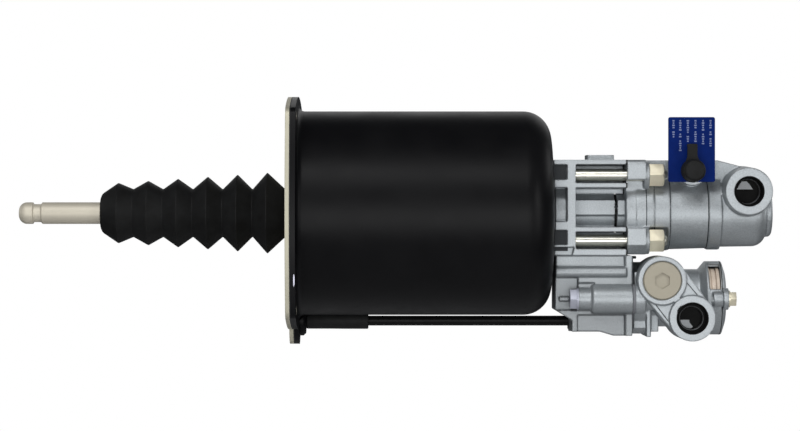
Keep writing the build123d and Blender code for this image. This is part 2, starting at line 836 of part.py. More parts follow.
def main_casting():
    """Open frame, end plate and valve block in one casting."""
    casting = run_x(near_section(), (pot_end_x - 4, end_plate_x))
    casting += run_x(far_section(), (end_plate_x, frame_end_x))
    depth = (-frame_half_depth, frame_half_depth)
    casting += block((end_plate_x, end_plate_x + end_plate), depth, (frame_bottom, frame_top))
    casting -= rod_x((core_end_x, frame_end_x + 1), core_r + loose_gap)
    casting += core_tube((end_plate_x, core_end_x)) + rod_x((pot_end_x - 4, end_plate_x), near_hub_r)
    toe_top = near_floor_z - near_ledge
    toe = [(pot_end_x - 5, toe_top), (end_plate_x + near_toe, toe_top)]
    toe += [(end_plate_x + near_toe - near_toe_slant, frame_bottom), (pot_end_x - 5, frame_bottom)]
    toe_cut = extrude(Plane.XZ * make_face(Polyline(*toe, close=True)), frame_half_depth + 1, both=True)
    kept = frame_half_depth - near_recess
    casting -= toe_cut - block((0, frame_end_x), (-kept, kept), (frame_bottom - 1, frame_top))
    casting += valve_block() + pipe_boss() + frame_tab()
    casting -= Pos(seat_gap, 0, 0) * pot_skin(pot_r, knuckle_r, pot_end_x)
    casting += rod_x((pot_end_x - spigot_length, end_plate_x), spigot_r)
    casting -= Pos(pot_end_x + 1.0, 0, 0) * Rot(0, 90, 0) * Torus(spigot_r + 1.2, 1.0)
    casting -= rod_x((pot_end_x - 10, core_end_x + 1), bush_r)
    for y, z in tie_places:
        casting -= rod_x((pot_end_x - 10, frame_end_x + 1), tie_r + tie_hole_gap, y, z)
    casting -= rod_x((relay_bore_x, block_right_x + 1), relay_bore_r, z=valve_z)
    casting -= rod_x((pot_end_x - 8, relay_bore_x + air_hole_r), air_hole_r, z=air_hole_z)
    casting -= rod_x((relay_bore_x - riser_r - riser_margin, block_right_x + 1), gallery_bore_r, z=gallery_z)
    riser = Pos(relay_bore_x, 0, (air_hole_z + gallery_z) / 2)
    casting -= riser * Cylinder(riser_r, air_hole_z - gallery_z)
    seal_end = block_step_x + pipe_seal_thick
    casting -= rod_x((block_left_x - 1, seal_end), pipe_seal_r + seat_gap, ear_y, ear_z)
    casting -= rod_x((seal_end - 1, seal_end + pipe_socket_depth), pipe_r + seat_gap, ear_y, ear_z)
    for side in (-1, 1):
        hole = (bolt_seat_x - 1, block_right_x + 1)
        casting -= rod_x(hole, valve_bolt_r + seat_gap, side * valve_bolt_y, valve_z)
    return casting


def body_gasket():
    """Gasket between the two castings, cut to the frame's section."""
    gasket = run_x(far_section(), (frame_end_x, body_x))
    for y, z in tie_places:
        gasket -= rod_x((frame_end_x - 1, body_x + 1), tie_r + tie_hole_gap, y, z)
    return gasket - rod_x((frame_end_x - 1, body_x + 1), core_r + loose_gap)


def barrel():
    """Stepped and tapered outside of the hydraulic cylinder."""
    shoulder = flange_seat_x + shoulder_length
    ring_end = barrel_ring_x + barrel_ring_length
    straight = [(flange_seat_x - 5, 0), (flange_seat_x - 5, shoulder_r), (shoulder, shoulder_r)]
    straight += [(shoulder, collar_r), (barrel_x, collar_r), (barrel_x, barrel_r)]
    straight += [(barrel_ring_x, barrel_r - 0.7), (barrel_ring_x, barrel_ring_r), (ring_end, barrel_ring_r)]
    straight += [(ring_end, barrel_tail_r), (barrel_tail_x - barrel_round, barrel_tail_r - 0.3)]
    tail = (barrel_tail_x, barrel_tail_r - 0.3 - barrel_round)
    bend = (tail[0] - barrel_round * (1 - cos(pi / 4)), tail[1] + barrel_round * sin(pi / 4))
    round_off = ThreePointArc(straight[-1], bend, tail)
    close = Polyline(tail, (barrel_tail_x, 0), straight[0])
    tube = revolve(make_face([Polyline(*straight), round_off, close]), Axis.X)
    cap = rod_x((barrel_tail_x - 2, cylinder_end_x), barrel_cap_r)
    cap = fillet(cap.edges().group_by(Axis.X)[-1], barrel_cap_round)
    return tube + cap


def body_flange_plate():
    """Flange of the hydraulic casting: an ear for each pair of bolts and the waist between them."""
    half = frame_half_depth + body_flange_out
    low = frame_bottom + 0.6
    upper = [(half, frame_top), (half, upper_ear_z), (-half, upper_ear_z), (-half, frame_top)]
    lower = [(half, lower_ear_high_z), (half, lower_ear_z), (half - ear_chamfer, low)]
    lower += [(ear_chamfer - half, low), (-half, lower_ear_z), (-half, lower_ear_high_z)]
    section = make_face(Polyline(*upper, close=True)) + make_face(Polyline(*lower, close=True))
    section += shelf(low, frame_top, waist_half) + Circle(waist_r)
    plate = run_x(section, (body_x, flange_seat_x))
    return fillet(plate.edges().filter_by(Axis.X).group_by(Axis.Z)[-1], body_flange_round)


def spine():
    """Web along the top of the hydraulic cylinder that carries the bleed and port bosses."""
    corners = [(flange_seat_x - 1, 0), (flange_seat_x - 1, frame_top), (spine_slope_x, frame_top)]
    corners += [(port_x + 4, port_z + port_boss_r - 0.6), (port_x + port_boss_r - 2, port_z)]
    corners += [(port_x + port_boss_r - 2, 0)]
    outline = Plane.XZ * make_face(Polyline(*corners, close=True))
    return extrude(outline, spine_half, both=True)


def oil_ways():
    """Drilled ways: from the port and the bleed screw into the bore, past the piston's last place."""
    end = bore_end_x - oil_way_end
    ways = rod_x((bleed_x, end + oil_way_r), oil_way_r, oil_way_y, oil_way_z)
    ways += rod_y((port_face_y, oil_way_y + oil_way_r), port_drill_r, port_x, oil_way_z - 1)
    ways += rod_y((bleed_boss_y, oil_way_y + oil_way_r), oil_way_r, bleed_x, bleed_z)
    ways += Pos(bleed_x, oil_way_y, (bleed_z + oil_way_z) / 2) * Cylinder(oil_way_r, bleed_z - oil_way_z)
    low = hydraulic_bore_r - 3
    return ways + Pos(end, oil_way_y, (oil_way_z + low) / 2) * Cylinder(oil_way_r, oil_way_z - low)


def hydraulic_cylinder():
    """Hydraulic casting: flange, barrel, spine, port boss and bleed boss."""
    casting = body_flange_plate() + core_tube((stub_x, body_x + 1))
    casting += barrel()
    casting += spine()
    casting += drafted_y((port_face_y, spine_half), port_boss_r, port_boss_root_r, port_x, port_z)
    casting += rod_y((bleed_boss_y, spine_half), bleed_boss_r, bleed_x, bleed_z)
    for y, z in tie_places:
        casting += rod_x((flange_seat_x - 1, pad_x), pad_r, y, z)
    for y, z in tie_places:
        casting -= rod_x((pad_x, pad_x + nut_clear), nut_clear_r, y, z)
        casting -= rod_x((body_x - 1, pad_x + 1), tie_r + tie_hole_gap, y, z)
    casting -= rod_x((body_x + 1.2, bore_end_x), hydraulic_bore_r)
    casting -= rod_x((stub_x - 1, body_x + 2), bush_r)
    casting -= rod_y((port_face_y - 1, port_face_y + port_depth), port_r, port_x, port_z)
    casting -= rod_y((bleed_boss_y - 1, bleed_boss_y + bleed_thread_depth), bleed_thread_r, bleed_x, bleed_z)
    return casting - oil_ways()


def tie_bolts():
    """Four long bolts from inside the pot through the frame, with round heads on the pot's end."""
    bolts = []
    seat = pot_end_x - pot_sheet - dome_rise
    for y, z in tie_places:
        shank = rod_x((seat - 1, nut_end_x + tie_tail), tie_r, y, z)
        shank = chamfer(shank.edges().group_by(Axis.X)[-1], 0.8)
        head = rod_x((seat - tie_head - 1, seat - 0.6), tie_head_r, y, z)
        head -= hex_x((seat - tie_head - 2, seat - 3), 6, y, z)
        bolts.append(shank + head)
    return group(bolts)


def tie_nuts():
    nuts = []
    for y, z in tie_places:
        corner = nut_across / sqrt(3)
        form = [(pad_x, 0), (pad_x, corner), (nut_end_x - 1.2, corner), (nut_end_x, corner - 1.4)]
        nut = hex_x((pad_x, nut_end_x), nut_across, y, z) & (Pos(0, y, z) * turned(form + [(nut_end_x, 0)]))
        nuts.append(nut - rod_x((pad_x - 1, nut_end_x + 1), tie_r, y, z))
    return group(nuts)


def bleed_screw():
    """Bleed screw: thread in the boss, hexagon and hose nipple."""
    hex_front = bleed_boss_y - tag_thick - bleed_hex_length
    screw = rod_y((bleed_boss_y, bleed_boss_y + bleed_thread_depth - 2), bleed_thread_r, bleed_x, bleed_z)
    screw += rod_y((bleed_boss_y - tag_thick, bleed_boss_y + 1), bleed_nipple_r, bleed_x, bleed_z)
    screw += hex_y((hex_front, bleed_boss_y - tag_thick), bleed_hex, bleed_x, bleed_z)
    tip = hex_front - bleed_nipple_length
    nipple = rod_y((tip, hex_front + 1), bleed_nipple_r, bleed_x, bleed_z)
    nipple = chamfer(nipple.edges().group_by(Axis.Y)[0], 0.8)
    screw += nipple
    return screw - rod_y((tip - 1, bleed_boss_y), 1.2, bleed_x, bleed_z)


def dust_cap():
    """Rubber cap over the nipple with its strap standing up in front of the tag."""
    back = bleed_boss_y - tag_thick - bleed_hex_length
    front = back - cap_length - cap_wall
    cap = rod_y((front, back), cap_r, bleed_x, bleed_z)
    cap = fillet(cap.edges().group_by(Axis.Y)[0], 1.5)
    low = bleed_z + cap_r - 1.5
    strap = (back - 2.5, back - 2.5 + strap_thick)
    cap += block((bleed_x - strap_width / 2, bleed_x + strap_width / 2), strap, (low, strap_top_z))
    bore = (back - cap_length, back + 1)
    return cap - rod_y(bore, bleed_nipple_r + running_gap, bleed_x, bleed_z)


def fluid_tag():
    """Flat tag hung on the bleed screw."""
    place = Plane(origin=(tag_left_x + tag_width / 2, bleed_boss_y, tag_low_z + tag_height / 2),
                  x_dir=(1, 0, 0), z_dir=(0, -1, 0))
    sheet = extrude(place * RectangleRounded(tag_width, tag_height, tag_corner_r), tag_thick)
    hole = (bleed_boss_y - 2, bleed_boss_y + 1)
    return sheet - rod_y(hole, bleed_nipple_r + running_gap, bleed_x, bleed_z)


def valve_gasket():
    """Gasket between the valve block and the valve head, with a tab standing above."""
    span = (valve_gasket_x, head_x)
    gasket = rod_x(span, head_flange_r, z=valve_z)
    for side in (-1, 1):
        gasket += rod_x(span, bolt_boss_r, side * valve_bolt_y, valve_z)
    gasket += block(span, (-bolt_boss_r - 5, bolt_boss_r + 5), (valve_z, frame_bottom - 1))
    gasket -= rod_x((valve_gasket_x - 1, head_x + 1), relay_bore_r, z=valve_z)
    gasket -= rod_x((valve_gasket_x - 1, head_x + 1), gallery_bore_r, z=gallery_z)
    for side in (-1, 1):
        hole = (valve_gasket_x - 1, head_x + 1)
        gasket -= rod_x(hole, valve_bolt_r + seat_gap, side * valve_bolt_y, valve_z)
    return gasket


def boss_web():
    """Web tangent to the plug boss and the air port boss."""
    bosses = Sketch() + Pos(plug_x, plug_z) * Circle(plug_boss_r)
    bosses += Pos(air_port_x, air_port_z) * Circle(air_port_boss_r)
    outline = Plane.XZ * make_hull(bosses.edges())
    return Pos(0, -10, 0) * extrude(outline, -plug_face_y - 12)


def valve_head_body():
    """Outside of the valve head: turned body, bolt flange, shelves, foot and bosses."""
    cone = exhaust_x + head_cone
    profile = [(head_x, 0), (head_x, head_flange_r), (head_x + head_flange_length, head_flange_r)]
    profile += [(head_x + head_flange_length + 1, head_r), (exhaust_x, head_r), (cone, exhaust_flange_r)]
    casting = turned(profile + [(exhaust_end_x, exhaust_flange_r), (exhaust_end_x, 0)], valve_z)
    side_y = (0, block_half_depth - 1)
    casting += flanks((head_x, head_x + 2.6), side_y, (head_shelf_high_z, gallery_z))
    casting += flanks((head_x, head_shelf_right_x), (0, side_y[1] - 3), (head_shelf_low_z, head_shelf_high_z))
    casting += flanks((head_x, head_rib_x), (10, 17), (head_foot_low_z + 2, valve_z))
    casting += flanks((head_rib_x, head_rib_x + head_rib), (0, 20), (head_rib_low_z, valve_z))
    casting += flanks((head_rib_x, head_foot_right_x), (0, 14), (head_foot_low_z, valve_z))
    for side in (-1, 1):
        casting += rod_x((head_x, head_x + head_flange), bolt_boss_r, side * valve_bolt_y, valve_z)
        casting += rod_x((head_x, head_x + valve_bolt_bite + 2), bolt_seat_r, side * valve_bolt_y, valve_z)
        low_y, high_y = sorted((0, side * valve_bolt_y))
        casting += block((head_x, head_x + head_flange), (low_y, high_y), (valve_z - 6, valve_z + 6))
        ear = side * valve_cover_bolt_y
        casting += rod_x((exhaust_end_x - ear_boss_length, exhaust_end_x), ear_boss_r, ear, valve_z)
    casting += boss_web()
    casting += rod_y((plug_face_y, 0), plug_boss_r, plug_x, plug_z)
    return casting + rod_y((air_port_face_y, 0), air_port_boss_r, air_port_x, air_port_z)


def valve_head():
    """Valve head casting with its chambers, air ways, window and threads."""
    casting = valve_head_body()
    casting -= rod_x((head_x - 1, seat_x), relay_stem_r + running_gap, z=valve_z)
    casting -= rod_x((head_x + stem_guide_length, seat_x), outlet_r, z=valve_z)
    casting -= rod_x((seat_x - 1, seat_x + seat_wall + 1), seat_hole_r, z=valve_z)
    casting -= rod_x((seat_x + seat_wall, exhaust_x + 1), inlet_r, z=valve_z)
    casting -= rod_x((exhaust_x + head_cone, exhaust_end_x + 1), exhaust_flange_r - exhaust_wall, z=valve_z)
    casting -= rod_x((exhaust_x, exhaust_x + head_cone + 1), ring_hole_r, z=valve_z)
    riser_x = head_x + stem_guide_length + riser_r
    riser_low_z = valve_z + outlet_r - 2
    casting -= rod_x((head_x - 1, riser_x + riser_r + riser_margin), gallery_bore_r, z=gallery_z)
    riser = Pos(riser_x, 0, (gallery_z + riser_low_z) / 2)
    casting -= riser * Cylinder(riser_r, gallery_z - riser_low_z)
    window = (exhaust_window_low_z, exhaust_window_high_z)
    outside = -exhaust_flange_r - 5
    casting -= block((exhaust_window_x, exhaust_end_x - 0.6), (outside, exhaust_window_y), window)
    casting -= rod_y((plug_face_y - 1, plug_face_y + plug_head), plug_head_r + seat_gap, plug_x, plug_z)
    plug_end = plug_face_y + plug_head + plug_depth
    casting -= rod_y((plug_face_y, plug_end + 1), plug_r, plug_x, plug_z)
    casting -= rod_y((air_port_face_y - 1, air_port_face_y + air_port_depth), air_port_r,
                     air_port_x, air_port_z)
    casting -= rod_y((air_port_face_y, 0), air_port_drill_r, air_port_x - air_port_drill_left,
                     air_port_z + air_port_drill_rise)
    for side in (-1, 1):
        hole = (head_x - 1, head_x + valve_bolt_bite)
        casting -= rod_x(hole, valve_bolt_r, side * valve_bolt_y, valve_z)
        hole = (exhaust_end_x - valve_cover_bolt_bite, exhaust_end_x + 1)
        casting -= rod_x(hole, valve_cover_bolt_r, side * valve_cover_bolt_y, valve_z)
    return casting


def valve_plug():
    """Screw plug with a shallow hexagon socket, flush in its boss."""
    head = rod_y((plug_face_y, plug_face_y + plug_head), plug_head_r, plug_x, plug_z)
    end = plug_face_y + plug_head + plug_depth
    plug = head + rod_y((plug_face_y + 1, end), plug_r, plug_x, plug_z)
    face = Plane(origin=(plug_x, plug_face_y - 1, plug_z), x_dir=(0, 0, 1), z_dir=(0, 1, 0))
    socket = face * RegularPolygon(plug_socket / 2, 6, major_radius=False)
    return plug - extrude(socket, plug_socket_depth + 1)


def valve_bolts():
    """Two long hexagon bolts through the valve block into the valve head."""
    bolts = []
    for side in (-1, 1):
        y = side * valve_bolt_y
        bolt = rod_x((bolt_seat_x - 1, head_x + valve_bolt_bite - 1), valve_bolt_r, y, valve_z)
        bolt += ring_x((bolt_seat_x - valve_bolt_washer, bolt_seat_x), bolt_seat_r, 1, y, valve_z)
        seat = bolt_seat_x - valve_bolt_washer
        bolt += hex_x((seat - valve_bolt_head, seat), valve_bolt_hex, y, valve_z)
        bolts.append(bolt)
    return group(bolts)


def relay_piston():
    """Relay piston with its stem, whose end closes the way to the exhaust."""
    end = relay_piston_x + relay_piston_length
    head_edge = relay_bore_r - running_gap
    groove = relay_piston_x + 5
    profile = [(relay_piston_x, 0), (relay_piston_x, head_edge - 0.8), (relay_piston_x + 0.8, head_edge)]
    profile += [(groove, head_edge), (groove, head_edge - relay_seal_depth)]
    profile += [(groove + relay_seal_width, head_edge - relay_seal_depth)]
    profile += [(groove + relay_seal_width, head_edge), (end, head_edge), (end, relay_stem_r)]
    return turned(profile + [(stem_end_x, relay_stem_r), (stem_end_x, 0)], valve_z)


def relay_seal():
    front = relay_piston_x + 5
    outer = relay_bore_r - running_gap
    return ring_x((front, front + relay_seal_width), outer, outer - relay_seal_depth, z=valve_z)


def relay_spring():
    start = relay_piston_x + relay_piston_length + seat_gap
    return coil((start, head_x - seat_gap), relay_spring_r, relay_wire_r, 4.0, valve_z)


def inlet_valve():
    """Inlet valve: faced disc on a hollow guide stem, through which the air leaves."""
    back = inlet_valve_x + inlet_valve_thick
    end = back + inlet_stem_length
    profile = [(inlet_valve_x, inlet_way_r), (inlet_valve_x, inlet_valve_r), (back - 1, inlet_valve_r)]
    profile += [(back, inlet_valve_r - 1), (back, inlet_stem_r), (end, inlet_stem_r), (end, inlet_way_r)]
    return turned(profile, valve_z)


def valve_guide():
    """Insert that guides the inlet valve's stem and closes the inlet chamber."""
    body = rod_x((guide_x, exhaust_x), inlet_r - running_gap, z=valve_z)
    body += rod_x((guide_x - guide_nub, guide_x + 1), inlet_stem_r + 1.4, z=valve_z)
    return body - rod_x((guide_x - guide_nub - 1, exhaust_x + 1), inlet_stem_r + running_gap, z=valve_z)


def inlet_spring():
    start = inlet_valve_x + inlet_valve_thick + seat_gap
    return coil((start, guide_x - seat_gap), inlet_spring_r + 0.4, inlet_wire_r, 4.0, valve_z)


def exhaust_rings():
    """Stacked flap rings on the cover's spigot, seen through the exhaust window."""
    rings = []
    for i in range(ring_count):
        x = exhaust_end_x - ring_space - (i + 1) * ring_thick - i * ring_space
        rings.append(ring_x((x, x + ring_thick), ring_r, ring_hole_r, z=valve_z))
    return group(rings)


def valve_cover():
    """Round cover with two ears and the spigot that carries the rings."""
    slant = 2.0
    profile = [(exhaust_end_x, 0), (exhaust_end_x, exhaust_flange_r), (cover_face_x - slant, exhaust_flange_r)]
    profile += [(cover_face_x, exhaust_flange_r - 3 * slant), (cover_face_x, 0)]
    cover = turned(profile, valve_z)
    spigot = ring_count * (ring_thick + ring_space) + ring_space
    cover += rod_x((exhaust_end_x - spigot, exhaust_end_x + 1), ring_hole_r - running_gap, z=valve_z)
    for side in (-1, 1):
        y = side * valve_cover_bolt_y
        cover += rod_x((exhaust_end_x, cover_face_x), valve_cover_ear_r, y, valve_z)
        hole = (exhaust_end_x - 1, cover_face_x + 1)
        cover -= rod_x(hole, valve_cover_bolt_r + seat_gap, y, valve_z)
        cover -= rod_x((cover_face_x, cover_face_x + 5), valve_cover_ear_r, y, valve_z)
    return cover


def valve_cover_bolts():
    bolts = []
    for side in (-1, 1):
        y = side * valve_cover_bolt_y
        start = exhaust_end_x - valve_cover_bolt_bite + 1
        bolt = rod_x((start, cover_face_x + 1), valve_cover_bolt_r, y, valve_z)
        bolt += rod_x((cover_face_x, cover_face_x + 1), valve_cover_bolt_hex * 0.62, y, valve_z)
        top = cover_face_x + 1 + valve_cover_bolt_head
        bolts.append(bolt + hex_x((cover_face_x + 1, top), valve_cover_bolt_hex, y, valve_z))
    return group(bolts)


def vent_pipe():
    """Straight breather pipe from the sleeve to the valve block."""
    span = (pipe_left_x, block_step_x + pipe_seal_thick + pipe_socket_depth)
    return ring_x(span, pipe_r, pipe_r - pipe_wall, ear_y, ear_z)


def pipe_seal():
    span = (block_step_x, block_step_x + pipe_seal_thick)
    return ring_x(span, pipe_seal_r, pipe_r + running_gap, ear_y, ear_z)


def hose_sleeve():
    span = (sleeve_left_x, sleeve_right_x)
    return ring_x(span, sleeve_r, pipe_r + running_gap, ear_y, ear_z)


def pipe_fitting():
    """Vent fitting on the flange's ear: spigot, chamfered collar and hose nipple."""
    spigot = flange_back_x - flange_thick + 0.5
    collar = flange_back_x + fitting_thick
    nipple = pipe_r - running_gap
    profile = [(spigot, fitting_bore_r), (spigot, air_hole_r), (flange_back_x, air_hole_r)]
    profile += [(flange_back_x, fitting_r), (collar - fitting_chamfer, fitting_r)]
    profile += [(collar, fitting_r - fitting_chamfer), (collar, nipple), (fitting_nipple_x - 1, nipple)]
    profile += [(fitting_nipple_x, nipple - 1), (fitting_nipple_x, fitting_bore_r)]
    fitting = Pos(0, ear_y, 0) * turned(profile, ear_z)
    near = pot_r + loose_gap
    clear = [(flange_back_x, 0), (flange_back_x, near + pot_foot_r), (flange_back_x + pot_foot_r, near)]
    return fitting - turned(clear + [(collar + 1, near), (collar + 1, 0)])


NODES = {
    "front_cover": front_cover,
    "cover_gasket": cover_gasket,
    "cover_screws": cover_screws,
    "air_cylinder": air_cylinder,
    "bellows": bellows,
    "pushrod": pushrod,
    "rod_clip": rod_clip,
    "air_piston": air_piston,
    "piston_seal": piston_seal,
    "piston_guide_ring": piston_guide_ring,
    "preload_spring": preload_spring,
    "hydraulic_piston": hydraulic_piston,
    "hydraulic_seal": hydraulic_seal,
    "guide_bush": guide_bush,
    "rod_seal": rod_seal,
    "spigot_seal": spigot_seal,
    "main_casting": main_casting,
    "body_gasket": body_gasket,
    "hydraulic_cylinder": hydraulic_cylinder,
    "tie_bolts": tie_bolts,
    "tie_nuts": tie_nuts,
    "bleed_screw": bleed_screw,
    "dust_cap": dust_cap,
    "fluid_tag": fluid_tag,
    "valve_gasket": valve_gasket,
    "valve_head": valve_head,
    "valve_plug": valve_plug,
    "valve_bolts": valve_bolts,
    "relay_piston": relay_piston,
    "relay_seal": relay_seal,
    "relay_spring": relay_spring,
    "inlet_valve": inlet_valve,
    "inlet_spring": inlet_spring,
    "valve_guide": valve_guide,
    "exhaust_rings": exhaust_rings,
    "valve_cover": valve_cover,
    "valve_cover_bolts": valve_cover_bolts,
    "vent_pipe": vent_pipe,
    "pipe_seal": pipe_seal,
    "hose_sleeve": hose_sleeve,
    "pipe_fitting": pipe_fitting,
}

for node, make in NODES.items():
    save(make(), node)
    print("wrote", node)
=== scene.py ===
# %% [markdown]
# # A clutch servo in Blender
# This lesson dresses an engineering model of a truck's clutch servo. The engineering model is loaded
# first and never moved: it gives every piece its place and its size. Blender then adds what a
# drawing can't hold, such as cast skin, soft edges, paint and rubber.

# %% Load the frame
import bmesh
import bpy
import json
import math
from mathutils import Matrix, Vector


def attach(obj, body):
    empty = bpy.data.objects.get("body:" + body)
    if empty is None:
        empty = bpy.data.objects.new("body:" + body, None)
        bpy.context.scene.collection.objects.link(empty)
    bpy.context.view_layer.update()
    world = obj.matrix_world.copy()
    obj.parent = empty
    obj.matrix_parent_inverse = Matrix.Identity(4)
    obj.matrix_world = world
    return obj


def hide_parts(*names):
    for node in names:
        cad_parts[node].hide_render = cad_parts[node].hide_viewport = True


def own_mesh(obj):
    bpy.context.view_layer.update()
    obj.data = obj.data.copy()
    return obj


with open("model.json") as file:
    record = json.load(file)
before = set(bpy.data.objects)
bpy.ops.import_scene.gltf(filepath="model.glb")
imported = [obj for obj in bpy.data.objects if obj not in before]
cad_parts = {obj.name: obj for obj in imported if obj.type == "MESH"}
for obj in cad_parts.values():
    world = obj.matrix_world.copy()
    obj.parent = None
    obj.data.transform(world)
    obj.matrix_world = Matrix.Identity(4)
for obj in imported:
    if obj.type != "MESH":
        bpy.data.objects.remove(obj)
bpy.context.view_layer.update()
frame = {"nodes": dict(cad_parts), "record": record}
print("nodes:", len(frame["nodes"]))

# %% [markdown]
# The camera comes first, because every later choice is judged through it. The photograph looks
# square on to the side of the servo. How far away it was taken isn't known: 1.7 m is assumed, and a
# long lens goes with it, so that one picture width covers 0.48 m at the axis of the cylinder.

# %% Camera
MM = 0.001
view_distance = 1.7
picture_width_at_axis = 0.480
sensor_width = 36.0

camera_data = bpy.data.cameras.new("camera")
camera_data.sensor_width = sensor_width
camera_data.lens = sensor_width * view_distance / picture_width_at_axis
camera = bpy.data.objects.new("camera", camera_data)
camera.location = (66.5 * MM, -view_distance, -1.44 * MM)
camera.rotation_euler = (math.pi / 2, 0, 0)
bpy.context.scene.collection.objects.link(camera)
bpy.context.scene.camera = camera
print("lens:", round(camera_data.lens, 1), "mm")

# %% [markdown]
# The servo hangs in a white studio. A real studio lights such a part with big soft boxes, because
# bare lamps would leave hard spots on black paint. One box hangs above and in front, and a wide one
# stands in front, a little below the part, so that its flat faces read as pale grey. One tall box
# stands at the right for the long soft streak on the round end of the pot. The weak ones at the left
# and behind only keep the other sides from going black. The camera sees white paper behind it all,
# but the part is lit by a dim room, because a bright white room would wash out the black paint.

# %% Studio
def soft_box(name, place, target, width, height, power):
    """A rectangular area light that faces a target point."""
    data = bpy.data.lights.new(name, "AREA")
    data.shape = "RECTANGLE"
    data.size, data.size_y = width, height
    data.energy = power
    lamp = bpy.data.objects.new(name, data)
    lamp.location = place
    lamp.rotation_euler = (Vector(target) - Vector(place)).to_track_quat("-Z", "Y").to_euler()
    bpy.context.scene.collection.objects.link(lamp)


middle = (0.08, 0.0, 0.0)
pot_end = (0.15, 0.0, 0.0)
# name, place, target, width, height, power in watts
boxes_of_light = [
    ("box_key", (-0.30, -1.35, 1.40), middle, 1.3, 0.6, 19.5),
    ("box_front", (-0.1, -2.25, -0.22), middle, 2.2, 0.9, 26),
    ("box_right", (1.35, -1.15, 0.15), pot_end, 0.35, 1.2, 7.5),
    ("box_left", (-1.3, -1.0, 0.3), middle, 0.6, 0.9, 2),
    ("box_back", (0.1, 1.7, 0.8), middle, 1.8, 0.9, 4.5),
    ("box_far_right", (2.0, 0.8, 0.4), middle, 1.0, 1.0, 8),
    ("box_far_left", (-2.0, 0.8, 0.4), middle, 1.0, 1.0, 6),
]
for row in boxes_of_light:
    soft_box(*row)

world = bpy.data.worlds.new("studio")
bpy.context.scene.world = world
world.use_nodes = True
wires = world.node_tree
wires.nodes.clear()
room = wires.nodes.new("ShaderNodeBackground")
room.inputs["Color"].default_value = (0.90, 0.95, 1.0, 1)
room.inputs["Strength"].default_value = 0.07
paper = wires.nodes.new("ShaderNodeBackground")
paper.inputs["Color"].default_value = (1, 1, 1, 1)
paper.inputs["Strength"].default_value = 1.0
seen = wires.nodes.new("ShaderNodeLightPath")
choose = wires.nodes.new("ShaderNodeMixShader")
result = wires.nodes.new("ShaderNodeOutputWorld")
wires.links.new(seen.outputs["Is Camera Ray"], choose.inputs[0])
wires.links.new(room.outputs[0], choose.inputs[1])
wires.links.new(paper.outputs[0], choose.inputs[2])
wires.links.new(choose.outputs[0], result.inputs[0])
bpy.context.scene.view_settings.view_transform = "Standard"

# %% [markdown]
# Materials come next, one short function for each finish. They share a few helpers, because nearly
# every finish is the same recipe: a main colour, a second colour mixed in by noise, a roughness
# that noise makes uneven, and a small bump. All patterns read Object coordinates, so they stay
# fixed to the part when the camera moves.

# %% Helpers for materials
def new_finish(name):
    """A material with its shader, its nodes and its links."""
    material = bpy.data.materials.new(name)
    material.use_nodes = True
    tree = material.node_tree
    tree.nodes.clear()
    shader = tree.nodes.new("ShaderNodeBsdfPrincipled")
    output = tree.nodes.new("ShaderNodeOutputMaterial")
    tree.links.new(shader.outputs[0], output.inputs["Surface"])
    return material, tree, shader


def place_on_part(tree, stretch=(1.0, 1.0, 1.0)):
    """Object coordinates, stretched along the axes when a pattern has a grain."""
    source = tree.nodes.new("ShaderNodeTexCoord")
    mapping = tree.nodes.new("ShaderNodeMapping")
    mapping.inputs["Scale"].default_value = stretch
    tree.links.new(source.outputs["Object"], mapping.inputs["Vector"])
    return mapping.outputs["Vector"]


def noise(tree, where, size, detail=3.0, rough=0.55):
    """Noise whose blobs are about as large as the size given in metres."""
    node = tree.nodes.new("ShaderNodeTexNoise")
    node.inputs["Scale"].default_value = 1.0 / size
    node.inputs["Detail"].default_value = detail
    node.inputs["Roughness"].default_value = rough
    tree.links.new(where, node.inputs["Vector"])
    return node.outputs["Fac"]


def spread(tree, value, low, high, from_low=0.3, from_high=0.7):
    """Stretch a noise value to run between two limits."""
    node = tree.nodes.new("ShaderNodeMapRange")
    node.inputs["From Min"].default_value = from_low
    node.inputs["From Max"].default_value = from_high
    node.inputs["To Min"].default_value = low
    node.inputs["To Max"].default_value = high
    tree.links.new(value, node.inputs["Value"])
    return node.outputs["Result"]


def mix_colours(tree, share, first, second):
    """Two colours mixed by a share that varies over the surface."""
    node = tree.nodes.new("ShaderNodeMix")
    node.data_type = "RGBA"
    tree.links.new(share, node.inputs["Factor"])
    for colour, socket in ((first, node.inputs[6]), (second, node.inputs[7])):
        if isinstance(colour, tuple):
            socket.default_value = (*colour, 1.0)
        else:
            tree.links.new(colour, socket)
    return node.outputs[2]


def add_bump(tree, shader, heights, strength=0.3):
    """Small bumps from one or more heights, each with its depth in metres."""
    normal = None
    for height, depth in heights:
        bump = tree.nodes.new("ShaderNodeBump")
        bump.inputs["Strength"].default_value = strength
        bump.inputs["Distance"].default_value = depth
        tree.links.new(height, bump.inputs["Height"])
        if normal is not None:
            tree.links.new(normal, bump.inputs["Normal"])
        normal = bump.outputs["Normal"]
    tree.links.new(normal, shader.inputs["Normal"])
